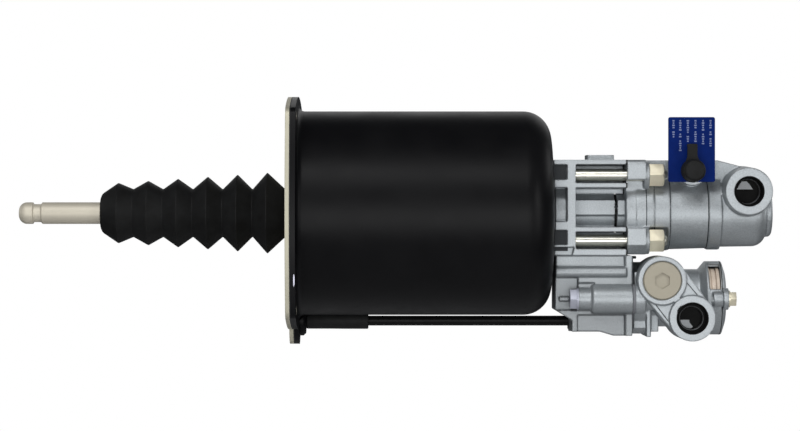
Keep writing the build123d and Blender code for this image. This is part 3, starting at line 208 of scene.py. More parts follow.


# %% [markdown]
# Blasted cast aluminium is grey with a slight blue cast. It is a metal, but the blasting breaks its
# reflection up so far that it reads as a soft grey, so the roughness is high and the colour carries a
# fine grain of lighter and darker specks. The deep flanks of the frame's lower half lie in shade, and
# the finish paints that shade into its colour: a painted shade, darker by height and by depth. One
# picture can't tell oil or dirt from plain shade, so the finish only gets a darker tone there, laid
# on by height and by depth, to bring the render closer to it.

# %% Cast aluminium
def cast_aluminium(name, light, dark, low=None):
    """Blasted casting; below the height called low its recessed flanks get a painted shade."""
    material, tree, shader = new_finish(name)
    where = place_on_part(tree)
    fine = noise(tree, where, 0.0008, 4.0, 0.7)
    broad = noise(tree, where, 0.018, 2.0)
    speckled = mix_colours(tree, spread(tree, fine, 0, 1), dark, light)
    clouded = mix_colours(tree, spread(tree, broad, 0.0, 0.35), speckled, dark)
    # painted shade: below the height low, the recessed faces are mixed towards half of the light colour
    if low is not None:
        apart = tree.nodes.new("ShaderNodeSeparateXYZ")
        tree.links.new(where, apart.inputs[0])
        inwards = tree.nodes.new("ShaderNodeMath")
        inwards.operation = "ABSOLUTE"
        tree.links.new(apart.outputs["Y"], inwards.inputs[0])
        below = spread(tree, apart.outputs["Z"], 1.0, 0.0, low - 0.022, low)
        deep = spread(tree, inwards.outputs[0], 1.0, 0.1, 0.026, 0.031)
        painted_shade_mask = tree.nodes.new("ShaderNodeMath")
        painted_shade_mask.operation = "MULTIPLY"
        tree.links.new(below, painted_shade_mask.inputs[0])
        tree.links.new(deep, painted_shade_mask.inputs[1])
        painted_shade_colour = tuple(value * 0.5 for value in light)
        clouded = mix_colours(tree, painted_shade_mask.outputs[0], clouded, painted_shade_colour)
    tree.links.new(clouded, shader.inputs["Base Color"])
    tree.links.new(spread(tree, fine, 0.42, 0.54), shader.inputs["Roughness"])
    shader.inputs["Metallic"].default_value = 0.75
    shader.inputs["Specular IOR Level"].default_value = 0.3
    add_bump(tree, shader, [(fine, 0.00016), (noise(tree, where, 0.0014), 0.00012)], 0.5)
    return material


# %% [markdown]
# Turned steel keeps fine marks that run round the part. Paint, rubber and plastic are not metals: they
# are told apart by how wide and how strong their highlight is, more than by their colour, because
# four of them here are nearly black.

# %% Steel, paint, rubber and plastic
def turned_steel(name, light, dark, roughness, lay, metal):
    """Turned or plated steel: fine marks lie round the part, so the noise is squeezed along X."""
    material, tree, shader = new_finish(name)
    marks = noise(tree, place_on_part(tree, lay), 0.006, 3.0, 0.6)
    stain = noise(tree, place_on_part(tree), 0.004, 3.0)
    colour = mix_colours(tree, spread(tree, marks, 0, 1), dark, light)
    stained = mix_colours(tree, spread(tree, stain, 0, 0.4), colour, dark)
    tree.links.new(stained, shader.inputs["Base Color"])
    tree.links.new(spread(tree, marks, *roughness), shader.inputs["Roughness"])
    shader.inputs["Metallic"].default_value = metal
    add_bump(tree, shader, [(marks, 0.00002)], 0.3)
    return material


def black_paint(name):
    """Satin black paint over drawn steel: a faint orange peel and a few dull clouds."""
    material, tree, shader = new_finish(name)
    where = place_on_part(tree)
    cloud = noise(tree, where, 0.03, 2.0)
    peel = noise(tree, where, 0.0012, 2.0)
    deep, dusty = (0.0026, 0.0026, 0.0032), (0.0040, 0.0040, 0.0046)
    colour = mix_colours(tree, spread(tree, cloud, 0, 1), deep, dusty)
    tree.links.new(colour, shader.inputs["Base Color"])
    tree.links.new(spread(tree, cloud, 0.36, 0.44), shader.inputs["Roughness"])
    shader.inputs["Specular IOR Level"].default_value = 0.11
    add_bump(tree, shader, [(peel, 0.00002)], 0.35)
    return material


def black_rubber(name, tone=0.006, roughness=(0.5, 0.68)):
    """Moulded rubber: nearly black, dull, with a dusty bloom and a fine skin."""
    material, tree, shader = new_finish(name)
    where = place_on_part(tree)
    bloom = noise(tree, where, 0.008, 4.0)
    skin = noise(tree, where, 0.0005, 3.0)
    base = (tone, tone, tone)
    dusty = (tone * 1.6, tone * 1.65, tone * 1.7)
    colour = mix_colours(tree, spread(tree, bloom, 0, 1), base, dusty)
    tree.links.new(colour, shader.inputs["Base Color"])
    tree.links.new(spread(tree, skin, *roughness), shader.inputs["Roughness"])
    shader.inputs["Specular IOR Level"].default_value = 0.12
    add_bump(tree, shader, [(skin, 0.00004)], 0.3)
    return material


def moulded_plastic(name, colour, second, roughness, shine):
    """Moulded or printed plastic, fibre or flat paint, with a faint texture."""
    material, tree, shader = new_finish(name)
    where = place_on_part(tree)
    cloud = noise(tree, where, 0.006, 3.0)
    skin = noise(tree, where, 0.0004, 2.0)
    mixed = mix_colours(tree, spread(tree, cloud, 0, 1), colour, second)
    tree.links.new(mixed, shader.inputs["Base Color"])
    tree.links.new(spread(tree, skin, *roughness), shader.inputs["Roughness"])
    shader.inputs["Specular IOR Level"].default_value = shine
    add_bump(tree, shader, [(skin, 0.00002)], 0.25)
    return material


# %% [markdown]
# Each finish is one row of numbers now. Rows that share a recipe stand together, so it is easy to see
# how one differs from the next.

# %% The finishes of the servo
finishes = {
    "black_paint": black_paint("pot_paint"),
    "rubber": black_rubber("seal_rubber"),
    "cap_rubber": black_rubber("cap_rubber", 0.009),
}

# light colour, dark colour
castings = {
    "cast_aluminium": ("cast_finish", (0.465, 0.494, 0.514), (0.305, 0.328, 0.343)),
    "frame_aluminium": ("frame_finish", (0.46, 0.489, 0.508), (0.30, 0.323, 0.338)),
    "machined_aluminium": ("bored_aluminium", (0.30, 0.31, 0.32), (0.22, 0.23, 0.24)),
    # painted shade: a near-black finish for the seam rings, the web's lines and notch, and the pocket
    # panels
    "painted_shade_cast": ("painted_shade_cast", (0.030, 0.032, 0.034), (0.018, 0.020, 0.022)),
}
# the frame's painted shade starts below this height, in metres
painted_shade_below = {"frame_aluminium": -0.026}
for slot, (name, light, dark) in castings.items():
    finishes[slot] = cast_aluminium(name, light, dark, low=painted_shade_below.get(slot))

# light colour, dark colour, roughness, lay of the marks, share of metal
ringed, even = (60.0, 1.0, 1.0), (1.0, 1.0, 1.0)
steels = {
    "plate_grey": ("plate_finish", (0.52, 0.495, 0.40), (0.43, 0.41, 0.32), (0.5, 0.6), even, 0.5),
    "rod_steel": ("rod_finish", (0.60, 0.56, 0.47), (0.54, 0.50, 0.41), (0.50, 0.58), ringed, 0.35),
    "dark_steel": ("spring_finish", (0.30, 0.30, 0.31), (0.18, 0.18, 0.19), (0.22, 0.36), ringed, 1.0),
    "ground_steel": ("ground_finish", (0.75, 0.75, 0.76), (0.62, 0.62, 0.63), (0.12, 0.2), ringed, 1.0),
    "zinc_steel": ("zinc_finish", (0.82, 0.78, 0.66), (0.62, 0.57, 0.46), (0.3, 0.42), even, 1.0),
    "bronze": ("bush_bronze", (0.60, 0.42, 0.22), (0.45, 0.30, 0.15), (0.22, 0.36), ringed, 1.0),
    "brown_steel": ("plug_finish", (0.36, 0.33, 0.265), (0.31, 0.285, 0.225), (0.5, 0.6), even, 0.35),
    "bright_zinc": ("stud_zinc", (0.80, 0.79, 0.70), (0.62, 0.61, 0.54), (0.26, 0.36), ringed, 1.0),
    "cream_zinc": ("nut_zinc", (0.90, 0.84, 0.67), (0.78, 0.72, 0.55), (0.40, 0.50), even, 0.8),
    "lilac_zinc": ("bolt_zinc", (0.46, 0.475, 0.55), (0.37, 0.385, 0.45), (0.45, 0.55), even, 0.5),
    # painted highlight: a pale finish for the glint on the pot's flange
    "painted_glint": ("painted_glint", (0.75, 0.74, 0.86), (0.65, 0.64, 0.76), (0.5, 0.6), ringed, 0.3),
}
for slot, recipe in steels.items():
    finishes[slot] = turned_steel(*recipe)

# first colour, second colour, roughness, specular level
mouldings = {
    "fibre": ("gasket_fibre", (0.010, 0.010, 0.010), (0.022, 0.022, 0.022), (0.6, 0.75), 0.4),
    "guide_plastic": ("ring_plastic", (0.20, 0.17, 0.13), (0.26, 0.22, 0.17), (0.35, 0.48), 0.4),
    "blue_plastic": ("tag_blue", (0.001, 0.011, 0.10), (0.0015, 0.014, 0.12), (0.35, 0.48), 0.03),
    "beige_rings": ("ring_beige", (0.70, 0.60, 0.50), (0.58, 0.48, 0.39), (0.35, 0.48), 0.4),
    "pipe_paint": ("pipe_black", (0.003, 0.003, 0.003), (0.005, 0.005, 0.005), (0.35, 0.45), 0.12),
    "tag_print": ("tag_print", (0.10, 0.13, 0.26), (0.16, 0.20, 0.36), (0.35, 0.48), 0.4),
    "gasket_grey": ("gasket_grey", (0.15, 0.155, 0.17), (0.20, 0.205, 0.22), (0.55, 0.7), 0.2),
    # painted shade: the near-black walls inside the ports
    "port_painted_shade": ("port_painted_shade", (0.003, 0.003, 0.003), (0.006, 0.006, 0.006), (0.5, 0.6), 0.1),
}
for slot, recipe in mouldings.items():
    finishes[slot] = moulded_plastic(*recipe)
print("finishes:", len(finishes))

# %% [markdown]
# Every node of the engineering model takes the finish that its record names for it. The gasket of the
# valve is the one exception: it is pressed fibre like the others, but the photograph shows it grey.

# %% Dress the engineering model
node_slot = {part["node"]: part["material_slot"] for part in frame["record"]["subparts"]}


def dress(piece, finish):
    """Give a piece one finish, whatever it had before."""
    piece.data.materials.clear()
    piece.data.materials.append(finishes[finish])


for node_name, node_object in frame["nodes"].items():
    dress(node_object, node_slot[node_name])
dress(frame["nodes"]["valve_gasket"], "gasket_grey")
print("dressed nodes:", len(node_slot))

# %% [markdown]
# ## Tools for new pieces
# Most of the servo was made on a lathe, so most new pieces are an outline of a few corners, spun
# about the X axis. The edges that come out sharp get a small bevel, because a real edge is broken
# by a file or a tumbling drum and catches a thin line of light.

# %% Turning tools
def turned(outline, steps=96, soft=0.0, soft_from=25):
    """A shape spun about the X axis from (x, radius) corners in millimetres."""
    work = bmesh.new()
    corners = [work.verts.new((x * MM, 0.0, radius * MM)) for x, radius in outline]
    rim = [work.edges.new(pair) for pair in zip(corners, corners[1:])]
    if outline[0][1] > 0:
        rim.append(work.edges.new((corners[-1], corners[0])))
    bmesh.ops.spin(work, geom=corners + rim, cent=(0, 0, 0), axis=(1, 0, 0), angle=math.tau,
                   steps=steps, use_merge=True)
    bmesh.ops.remove_doubles(work, verts=work.verts, dist=0.000001)
    bmesh.ops.recalc_face_normals(work, faces=work.faces)
    if soft:
        soften(work, soft, soft_from)
    return work


def soften(work, width, from_angle=25):
    """Bevel every edge that is sharper than an angle."""
    sharp = [edge for edge in work.edges
             if edge.is_manifold and edge.calc_face_angle(0) > math.radians(from_angle)]
    bmesh.ops.bevel(work, geom=sharp, offset=width * MM, segments=2, profile=0.5, affect="EDGES",
                    material=-1, clamp_overlap=True)


def arc(centre, radius, start, end, steps):
    """Corners along an arc of an outline, with its angles in degrees."""
    points = []
    for i in range(steps + 1):
        angle = math.radians(start + (end - start) * i / steps)
        points.append((centre[0] + radius * math.cos(angle), centre[1] + radius * math.sin(angle)))
    return points


def face_front(work, x, y, z):
    """Turn a shape made along X so that its X counts inwards from the front, and place it."""
    quarter_turn = Matrix.Rotation(math.pi / 2, 3, "Z")
    bmesh.ops.rotate(work, verts=work.verts, cent=(0, 0, 0), matrix=quarter_turn)
    bmesh.ops.translate(work, verts=work.verts, vec=(x * MM, y * MM, z * MM))


def joined(shapes):
    """Several finished shapes in one bmesh."""
    whole = bmesh.new()
    for shape in shapes:
        mesh = bpy.data.meshes.new("shape")
        shape.to_mesh(mesh)
        shape.free()
        whole.from_mesh(mesh)
        bpy.data.meshes.remove(mesh)
    return whole


def lay_in(places, outline, **shaping):
    """The same turned shape at several (y, z) places, in one bmesh."""
    shapes = []
    for y, z in places:
        shape = turned(outline, **shaping)
        bmesh.ops.translate(shape, verts=shape.verts, vec=(0, y * MM, z * MM))
        shapes.append(shape)
    return joined(shapes)


def shade(work):
    """Smooth shading for round faces alone: a face whose every edge is a corner stays flat."""
    for face in work.faces:
        bends = [edge.calc_face_angle(0) for edge in face.edges if edge.is_manifold]
        face.smooth = not bends or min(bends) < math.radians(12)


def make_piece(name, work, finish, body, smooth_to=20):
    """Turn a finished bmesh into a piece that rides on a body."""
    shade(work)
    mesh = bpy.data.meshes.new(name)
    work.to_mesh(mesh)
    work.free()
    return finish_piece(name, mesh, finish, body, smooth_to)


def finish_piece(name, mesh, finish, body, smooth_to=20):
    """Keep edges sharp above an angle, dress the piece and let it ride on its body."""
    mesh.set_sharp_from_angle(angle=math.radians(smooth_to))
    piece = bpy.data.objects.new(name, mesh)
    bpy.context.scene.collection.objects.link(piece)
    dress(piece, finish)
    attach(piece, body)
    print(name, "faces:", len(mesh.polygons))
    return piece


# %% [markdown]
# The castings come from the engineering model, where every edge is as sharp as a drawing. A real
# casting has soft edges and filled corners, because molten metal can't fill a sharp one. A copy of
# the model's mesh is rebuilt from small cubes, which welds all its faces to one skin, and then
# relaxed a little. Where a shape is too plain for that, a copy with bevelled edges does better.

# %% Copies of the engineering model
def model_copy(node):
    """A bmesh copy of a node whose loose triangles are joined."""
    work = bmesh.new()
    work.from_mesh(frame["nodes"][node].data)
    bmesh.ops.remove_doubles(work, verts=work.verts, dist=0.000002)
    return work


def cast_copy(name, node, cube, rounds, keep, finish):
    """A casting's skin: the node rebuilt from cubes, relaxed, and thinned to a share."""
    work = model_copy(node)
    mesh = bpy.data.meshes.new(name + "_rough")
    work.to_mesh(mesh)
    work.free()
    rough = bpy.data.objects.new(name + "_rough", mesh)
    bpy.context.scene.collection.objects.link(rough)
    rebuild = rough.modifiers.new("rebuild", "REMESH")
    rebuild.mode = "VOXEL"
    rebuild.voxel_size = cube * MM
    relax = rough.modifiers.new("relax", "SMOOTH")
    relax.factor = 0.5
    relax.iterations = rounds
    thin = rough.modifiers.new("thin", "DECIMATE")
    thin.ratio = keep
    settled = rough.evaluated_get(bpy.context.evaluated_depsgraph_get())
    skin = bpy.data.meshes.new_from_object(settled)
    skin.name = name
    skin.polygons.foreach_set("use_smooth", [True] * len(skin.polygons))
    bpy.data.objects.remove(rough)
    piece = finish_piece(name, skin, finish, "housing", smooth_to=50)
    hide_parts(node)


def eased_copy(name, node, width, finish, from_angle):
    """A copy of a simple node with a small bevel on its sharp edges."""
    work = model_copy(node)
    bmesh.ops.dissolve_limit(work, angle_limit=math.radians(1), verts=work.verts, edges=work.edges)
    soften(work, width, from_angle)
    piece = make_piece(name, work, finish, "housing")
    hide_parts(node)


# %% [markdown]
# ## The air cylinder
# The black pot is one sheet of steel, pressed deep in a die. Its wall bends out into the flange with
# a small foot radius and into its end with a large one. The end itself is a very flat dome. Spinning
# the sheet's section gives all of it at once, smooth enough for the long soft highlight.

# %% Pot
pot_r, sheet = 61.0, 3.0
foot_x, foot_r = 6.0, 3.5
knuckle_x, knuckle_r = 140.2, 16.5
dome_rise, pot_end_x = 2.3, 159.0
spigot_r = 17.1


def dome(end_x, from_r, to_r, steps=6):
    """Corners over the flat dome between two radii."""
    edge_r = pot_r - knuckle_r
    radii = [from_r + (to_r - from_r) * i / steps for i in range(steps + 1)]
    return [(end_x - dome_rise * (radius / edge_r) ** 2, radius) for radius in radii]


pot_outline = arc((foot_x + foot_r, pot_r + foot_r), foot_r, 180, 270, 6)
pot_outline += arc((knuckle_x, pot_r - knuckle_r), knuckle_r, 90, 0, 16)
pot_outline += dome(pot_end_x, pot_r - knuckle_r, spigot_r)[1:]
pot_outline += dome(pot_end_x - sheet, spigot_r, pot_r - knuckle_r)
pot_outline += arc((knuckle_x, pot_r - knuckle_r), knuckle_r - sheet, 0, 90, 12)[1:]
pot_outline += [(foot_x - 0.4, pot_r - sheet), (foot_x - 0.4, pot_r + foot_r)]
pot = make_piece("pot", turned(pot_outline, steps=192), "black_paint", "housing")
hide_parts("air_cylinder")

# %% [markdown]
# The pot's flange keeps the outline of the engineering model, with its ear and its holes. A copy of the
# model is cut off just before the foot radius. The cut leaves an open face with holes in it, and a
# triangle fill closes exactly such a face. A bright spot on the flange's edge is a painted highlight: a
# small pale lens on the edge stands for light caught on the wall of a hole.

# %% Pot flange
flange = model_copy("air_cylinder")
everything = flange.verts[:] + flange.edges[:] + flange.faces[:]
bmesh.ops.bisect_plane(flange, geom=everything, dist=0.000001, plane_co=((foot_x - 0.05) * MM, 0, 0),
                       plane_no=(1, 0, 0), clear_outer=True)
open_edges = [edge for edge in flange.edges if edge.is_boundary]
bmesh.ops.triangle_fill(flange, use_beauty=True, edges=open_edges)
bmesh.ops.recalc_face_normals(flange, faces=flange.faces)
bmesh.ops.dissolve_limit(flange, angle_limit=math.radians(1), verts=flange.verts, edges=flange.edges)
soften(flange, 0.4, 40)
make_piece("pot_flange", flange, "black_paint", "housing")
eased_copy("cover_plate", "front_cover", 0.25, "plate_grey", from_angle=40)
# painted highlight: a small pale lens on the flange's edge
glint_size, glint_place = (0.45, 0.12, 3.6), Vector((5.4, -69.36, -38.8)) * MM
glint = bmesh.new()
bmesh.ops.create_uvsphere(glint, u_segments=24, v_segments=12, radius=MM)
bmesh.ops.scale(glint, verts=glint.verts, vec=glint_size)
bmesh.ops.translate(glint, verts=glint.verts, vec=glint_place)
make_piece("flange_glint", glint, "painted_glint", "housing")

# %% [markdown]
# ## The bellows
# The rubber boot is moulded with six folds that grow towards the cover. Its outline is a zigzag, and
# each tip and each valley has a narrow flat. When the rod slides in, the folds close up.

# %% Bellows
first_fold_x, fold_pitch, folds = -13.0, 17.85, 6
fold_large, fold_small, valley_r = 24.1, 18.0, 14.5
rubber_wall, tip = 1.8, 0.25
stroke, boot_reach = 70.0, 112.7
outside, inside = [], []
for i in range(folds):
    x = first_fold_x - i * fold_pitch
    peak = fold_large - i * (fold_large - fold_small) / (folds - 1)
    outside += [(x + tip, peak), (x - tip, peak)]
    inside += [(x + tip, peak - rubber_wall - 0.6), (x - tip, peak - rubber_wall - 0.6)]
    if i < folds - 1:
        valley = x - fold_pitch / 2
        outside += [(valley + tip, valley_r), (valley - tip, valley_r)]
        inside += [(valley + tip, valley_r - rubber_wall), (valley - tip, valley_r - rubber_wall)]
foot = [(4.9, 13.2), (4.9, 17.6), (2.5, 17.6), (2.5, 15.0), (0.0, 15.0), (-0.5, 14.5), (-2.4, 14.5)]
nose = [(-110.9, 12.3), (-112.0, 11.2), (-112.7, 9.6), (-112.7, 6.55), (-106.5, 6.55), (-106.5, 9.1)]
back_of_foot = [(-2.4, 12.7), (0.0, 12.9)]
boot = turned(foot + outside + nose + inside[::-1] + back_of_foot, steps=128, soft=0.12)
bellows = make_piece("bellows_skin", boot, "rubber", "housing")
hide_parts("bellows")
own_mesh(bellows)

# %% [markdown]
# ## The pushrod
# The rod ends in a turned nose that sits in the cup of the clutch lever: a dome, a short land and a
# groove. The dome runs into the land without an edge, so an arc joins them in the outline.

# %% Pushrod
rod_r, groove_r, rod_tip_x = 6.5, 5.4, -162.0
rod_outline = [(rod_tip_x, 0.0), (rod_tip_x, 1.6)]
rod_outline += arc((rod_tip_x + 4.9, 1.6), 4.9, 180, 90, 10)[1:]
rod_outline += [(-153.5, rod_r), (-153.0, groove_r), (-148.8, groove_r), (-147.9, rod_r)]
rod_outline += [(12.0, rod_r), (12.0, 5.8), (13.2, 5.8), (13.2, rod_r)]
rod_outline += [(24.5, rod_r), (26.0, 5.0), (26.0, 0.0)]
rod = make_piece("pushrod_skin", turned(rod_outline, soft=0.25), "rod_steel", "rod")
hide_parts("pushrod")

# %% [markdown]
# ## The springs
# Three coil springs act on the air piston, the relay piston and the inlet valve. They are hidden
# inside, so their wires and turns are typical values. Each has one end that stays where it is.

# %% Springs
# node, joint, travel, station of the end that stays
springs = [
    ("preload_spring", "pushrod_slide", stroke, 155.3),
    ("relay_spring", "relay_slide", 3.0, 205.1),
    ("inlet_spring", "inlet_slide", 1.5, 238.9),
]
for node, joint, travel, fixed_x in springs:
    coils = model_copy(node)
    spring = make_piece(node + "_coils", coils, "dark_steel", "housing", smooth_to=40)
    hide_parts(node)
    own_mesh(spring)

# %% [markdown]
# ## The castings
# Three castings carry everything behind the pot, and the valve's cover is a fourth. The cubes are about
# half a millimetre wide, which keeps the thin ribs, and the relaxing rounds the edges to about the
# radius that real ones have. That gives far more faces than the flats need, so most are taken out
# again. The frame alone takes the finish with a painted shade on its deep lower flanks.

# %% Casting skins
# piece, node, cube width, rounds of relaxing, share of faces kept, finish
casting_skins = [
    ("frame_casting", "main_casting", 0.45, 3, 0.30, "frame_aluminium"),
    ("cylinder_casting", "hydraulic_cylinder", 0.45, 3, 0.30, "cast_aluminium"),
    ("valve_casting", "valve_head", 0.42, 3, 0.30, "cast_aluminium"),
    ("cover_casting", "valve_cover", 0.35, 2, 0.50, "cast_aluminium"),
]
for row in casting_skins:
    cast_copy(*row)

# %% [markdown]
# The photograph shows a black line where the core tube meets the hydraulic casting. It is read as a
# narrow gap with a rubber ring in it, which is a guess from one picture.

# %% Ring in the gap
gap_outline = [(193.9, 9.0), (193.9, 11.3), (196.4, 11.3), (196.4, 9.0)]
make_piece("gap_ring", turned(gap_outline, steps=96, soft=0.2), "rubber", "housing")

# %% [markdown]
# Thin dark lines run round the outside of the cylinder. They are read as small steps with shade in
# their corners, which is a guess too. The lines are narrow near-black rings, just proud of the skin, a
# painted shade for those corners.

# %% Seams
# start, end, radius
seam_places = [(212.3, 212.8, 23.08), (217.1, 217.7, 22.50), (226.4, 227.1, 22.05),
               (249.2, 249.95, 21.35), (257.4, 257.8, 20.30)]
seam_depth = 0.8
seams = []
for start, end, radius in seam_places:
    inner = radius - seam_depth
    seams.append(turned([(start, inner), (start, radius), (end, radius), (end, inner)], steps=128))
make_piece("seam_shade_rings", joined(seams), "painted_shade_cast", "housing")

# %% [markdown]
# The two flanks of the web on the valve head end in such lines too, and the ridge of the core has a
# small notch. Both are painted shade: the lines are thin dark bars and the notch a dark block, just
# proud of the surface. Each bar starts as a cube, is stretched, turned to its slope and moved, because
# three transforms of a cube are easier to read than eight corners.

# %% Lines on the web
web_front_y = -36.0
web_lines = [((233.6, -39.3), (243.2, -50.6)), ((213.6, -49.8), (224.6, -64.2))]
line_deep, line_wide = 0.5, 0.55
notch_shade_size, notch_shade_place = (1.9, 0.6, 1.9), Vector((195.1, -13.35, 3.6)) * MM
groove_shade_bars = bmesh.new()
for (x0, z0), (x1, z1) in web_lines:
    bar = bmesh.ops.create_cube(groove_shade_bars, size=MM)["verts"]
    bar_length = math.hypot(x1 - x0, z1 - z0)
    bmesh.ops.scale(groove_shade_bars, verts=bar, vec=(bar_length, line_deep, line_wide))
    slope = Matrix.Rotation(-math.atan2(z1 - z0, x1 - x0), 3, "Y")
    bmesh.ops.rotate(groove_shade_bars, verts=bar, cent=(0, 0, 0), matrix=slope)
    bar_place = Vector(((x0 + x1) / 2, web_front_y + 0.15, (z0 + z1) / 2)) * MM
    bmesh.ops.translate(groove_shade_bars, verts=bar, vec=bar_place)
notch_shade = bmesh.ops.create_cube(groove_shade_bars, size=MM)["verts"]
eighth_turn = Matrix.Rotation(math.pi / 4, 3, "Y")
bmesh.ops.rotate(groove_shade_bars, verts=notch_shade, cent=(0, 0, 0), matrix=eighth_turn)
bmesh.ops.scale(groove_shade_bars, verts=notch_shade, vec=notch_shade_size)
bmesh.ops.translate(groove_shade_bars, verts=notch_shade, vec=notch_shade_place)
make_piece("web_groove_shade", groove_shade_bars, "painted_shade_cast", "housing")

# %% [markdown]
# The short bays next to the pot look almost black. They are read as closed pockets in deep shade, and
# thin near-black panels on their floors paint that shade. A small black block in the joint above the
# valve paints the shade under the frame there too.

# %% Pocket floors in painted shade
def boxes_between(boxes):
    """Plain boxes between their limits along each axis, in one bmesh."""
    work = bmesh.new()
    for limits in boxes:
        corners = bmesh.ops.create_cube(work, size=MM)["verts"]
        sizes = [high - low for low, high in limits]
        centre = [(high + low) / 2 * MM for low, high in limits]
        bmesh.ops.scale(work, verts=corners, vec=sizes)
        bmesh.ops.translate(work, verts=corners, vec=centre)
    return work


pocket_x, pocket_floor_y, panel_thick = (157.0, 165.6), 25.9, 0.35
pocket_rows = [(19.4, 28.8), (-22.4, -9.6)]
sunk = 0.5
pocket_boxes = []
for row in pocket_rows:
    pocket_boxes.append((pocket_x, (-pocket_floor_y - panel_thick, -pocket_floor_y + sunk), row))
    pocket_boxes.append((pocket_x, (pocket_floor_y - sunk, pocket_floor_y + panel_thick), row))
shade_panels = boxes_between(pocket_boxes)
make_piece("pocket_shade_panels", shade_panels, "painted_shade_cast", "housing")
# painted shade: a black block in the joint above the valve, where the frame's shade falls
joint_shade = boxes_between([((201.4, 206.2), (-24.5, -18.0), (-27.0, -25.4))])
soften(joint_shade, 0.4)
make_piece("joint_shade_block", joint_shade, "rubber", "housing")

# %% [markdown]
# ## Tie bolts and nuts
# The frame is held by four long bolts. Their middles shine through the windows of the frame, and
# their ends stand out of the nuts with the last turns of the thread. At this size a thread is a row
# of rings, so its outline is a zigzag that is spun once.

# %% Tie bolts
tie_places = [(y, z) for y in (-21.0, 21.0) for z in (-16.3, 22.5)]
tie_r, tie_end_x = 3.6, 224.8


def threaded(start, end, outer, pitch=1.25, depth=0.6):
    """Outline of a thread between two stations, without its ends."""
    turns = int((end - start) / pitch)
    points = []
    for i in range(turns):
        x = start + i * pitch
        points += [(x, outer - depth), (x + pitch * 0.45, outer), (x + pitch * 0.6, outer)]
    return points


bolt_outline = [(147.8, 0.0), (147.8, 5.3), (148.1, 5.5), (153.1, 5.5)]
bolt_outline += [(153.1, tie_r), (210.0, tie_r)]
bolt_outline += threaded(210.5, tie_end_x - 1.0, tie_r)
bolt_outline += [(tie_end_x - 0.8, tie_r - 0.6), (tie_end_x, tie_r - 1.3), (tie_end_x, 0.0)]
bolts = lay_in(tie_places, bolt_outline, steps=48)
ties = make_piece("tie_bolt_set", bolts, "bright_zinc", "housing")
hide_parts("tie_bolts")
eased_copy("tie_nut_set", "tie_nuts", 0.2, "cream_zinc", from_angle=24)

# %% [markdown]
# ## Bolts of the valve
# Two long bolts with pale heads hold the valve head, and two small ones its cover. Their heads were
# pressed, so the corners are rounded off at the top. The copies only need their edges eased.

# %% Valve bolts
eased_copy("valve_bolt_set", "valve_bolts", 0.25, "lilac_zinc", from_angle=24)
eased_copy("cover_bolt_set", "valve_cover_bolts", 0.2, "cream_zinc", from_angle=24)

# %% [markdown]
# ## The hydraulic port and the air port
# Both ports are tapped holes that look almost black from the front, because little light gets in. What
# shows is the bright ring of the seat and, on the floor, the lands that the drills left. The wall is
# one spun outline in a near-black finish, a painted shade for the dark inside of the hole; the seat is
# another outline, and each land is a flat outline with a thickness.

# %% Ports
def port_wall(mouth_r, thread_r, seat_r, seat_depth, floor_depth, turns=4, pitch=1.5):
    """Outline of a tapped hole from its face inwards: chamfer, thread, ledge and floor."""
    points = [(-0.02, mouth_r + 0.5), (-0.02, mouth_r), (0.8, thread_r)]
    for i in range(turns):
        x = 1.2 + i * pitch
        points += [(x, thread_r), (x + 0.5, thread_r + 0.35), (x + 0.8, thread_r + 0.35)]
    points += [(seat_depth, thread_r), (seat_depth, seat_r), (floor_depth, seat_r), (floor_depth, 0.0)]
    return points[::-1]


def seat_ring(seat_r, seat_depth, wide=0.55):
    """Outline of the bright chamfer of the seat."""
    rim = [(seat_depth - 0.05, seat_r + wide + 0.1), (seat_depth - 0.35, seat_r + wide)]
    return rim + [(seat_depth + 0.3, seat_r - 0.05), (seat_depth + 0.6, seat_r + 0.3)]


def add_land(work, corners, depth, thick):
    """A flat land on a port's floor, from (right, up) corners as seen from the front."""
    rim = [work.verts.new((depth * MM, -right * MM, up * MM)) for right, up in corners]
    face = work.faces.new(rim)
    raised = bmesh.ops.extrude_face_region(work, geom=[face], use_keep_orig=True)["geom"]
    front = [item for item in raised if isinstance(item, bmesh.types.BMVert)]
    bmesh.ops.translate(work, verts=front, vec=(-thick * MM, 0, 0))
    bmesh.ops.recalc_face_normals(work, faces=work.faces)


def port_insides(name, place, mouth_r, thread_r, seat_r, seat_depth, floor_depth, land):
    """The wall of a port in near-black painted shade, its bright seat ring and the land on its floor.
    """
    bore = turned(port_wall(mouth_r, thread_r, seat_r, seat_depth, floor_depth))
    face_front(bore, *place)
    make_piece(name + "_bore", bore, "port_painted_shade", "housing")
    ring = turned(seat_ring(seat_r, seat_depth))
    add_land(ring, land, floor_depth - 0.1, 0.5)
    face_front(ring, *place)
    make_piece(name + "_seat", ring, "machined_aluminium", "housing")


hydraulic_land = [(-6.0, 1.3), (-3.1, 6.0), (-0.1, 6.0), (2.0, 3.7), (3.5, 1.3)]
port_insides("hydraulic_port", (272.5, -30.0, 12.8), 8.5, 7.9, 7.0, 10.5, 13.2, hydraulic_land)
air_land = [(-6.3, -1.2), (-0.7, -1.2), (-0.7, -2.6), (1.3, -5.3), (0.4, -6.2), (-2.4, -6.0),
            (-5.2, -4.0)]
port_insides("air_port", (238.0, -40.0, -61.8), 9.0, 8.4, 6.6, 8.0, 13.2, air_land)

# %% [markdown]
# ## The screw plug
# The plug is a turned disc with a warm brown finish, probably a chromate. Its rim is chamfered, so
# the upper half of it shines. The hexagon socket is joined to the face by a bridge between a circle and
# a hexagon, then pushed in and closed.

# %% Screw plug
plug_place = (220.5, -38.0, -39.7)
plug_disc_r, plug_stub_r, face_r = 11.3, 9.0, 6.4
socket_r, socket_depth = 4.9, 1.6


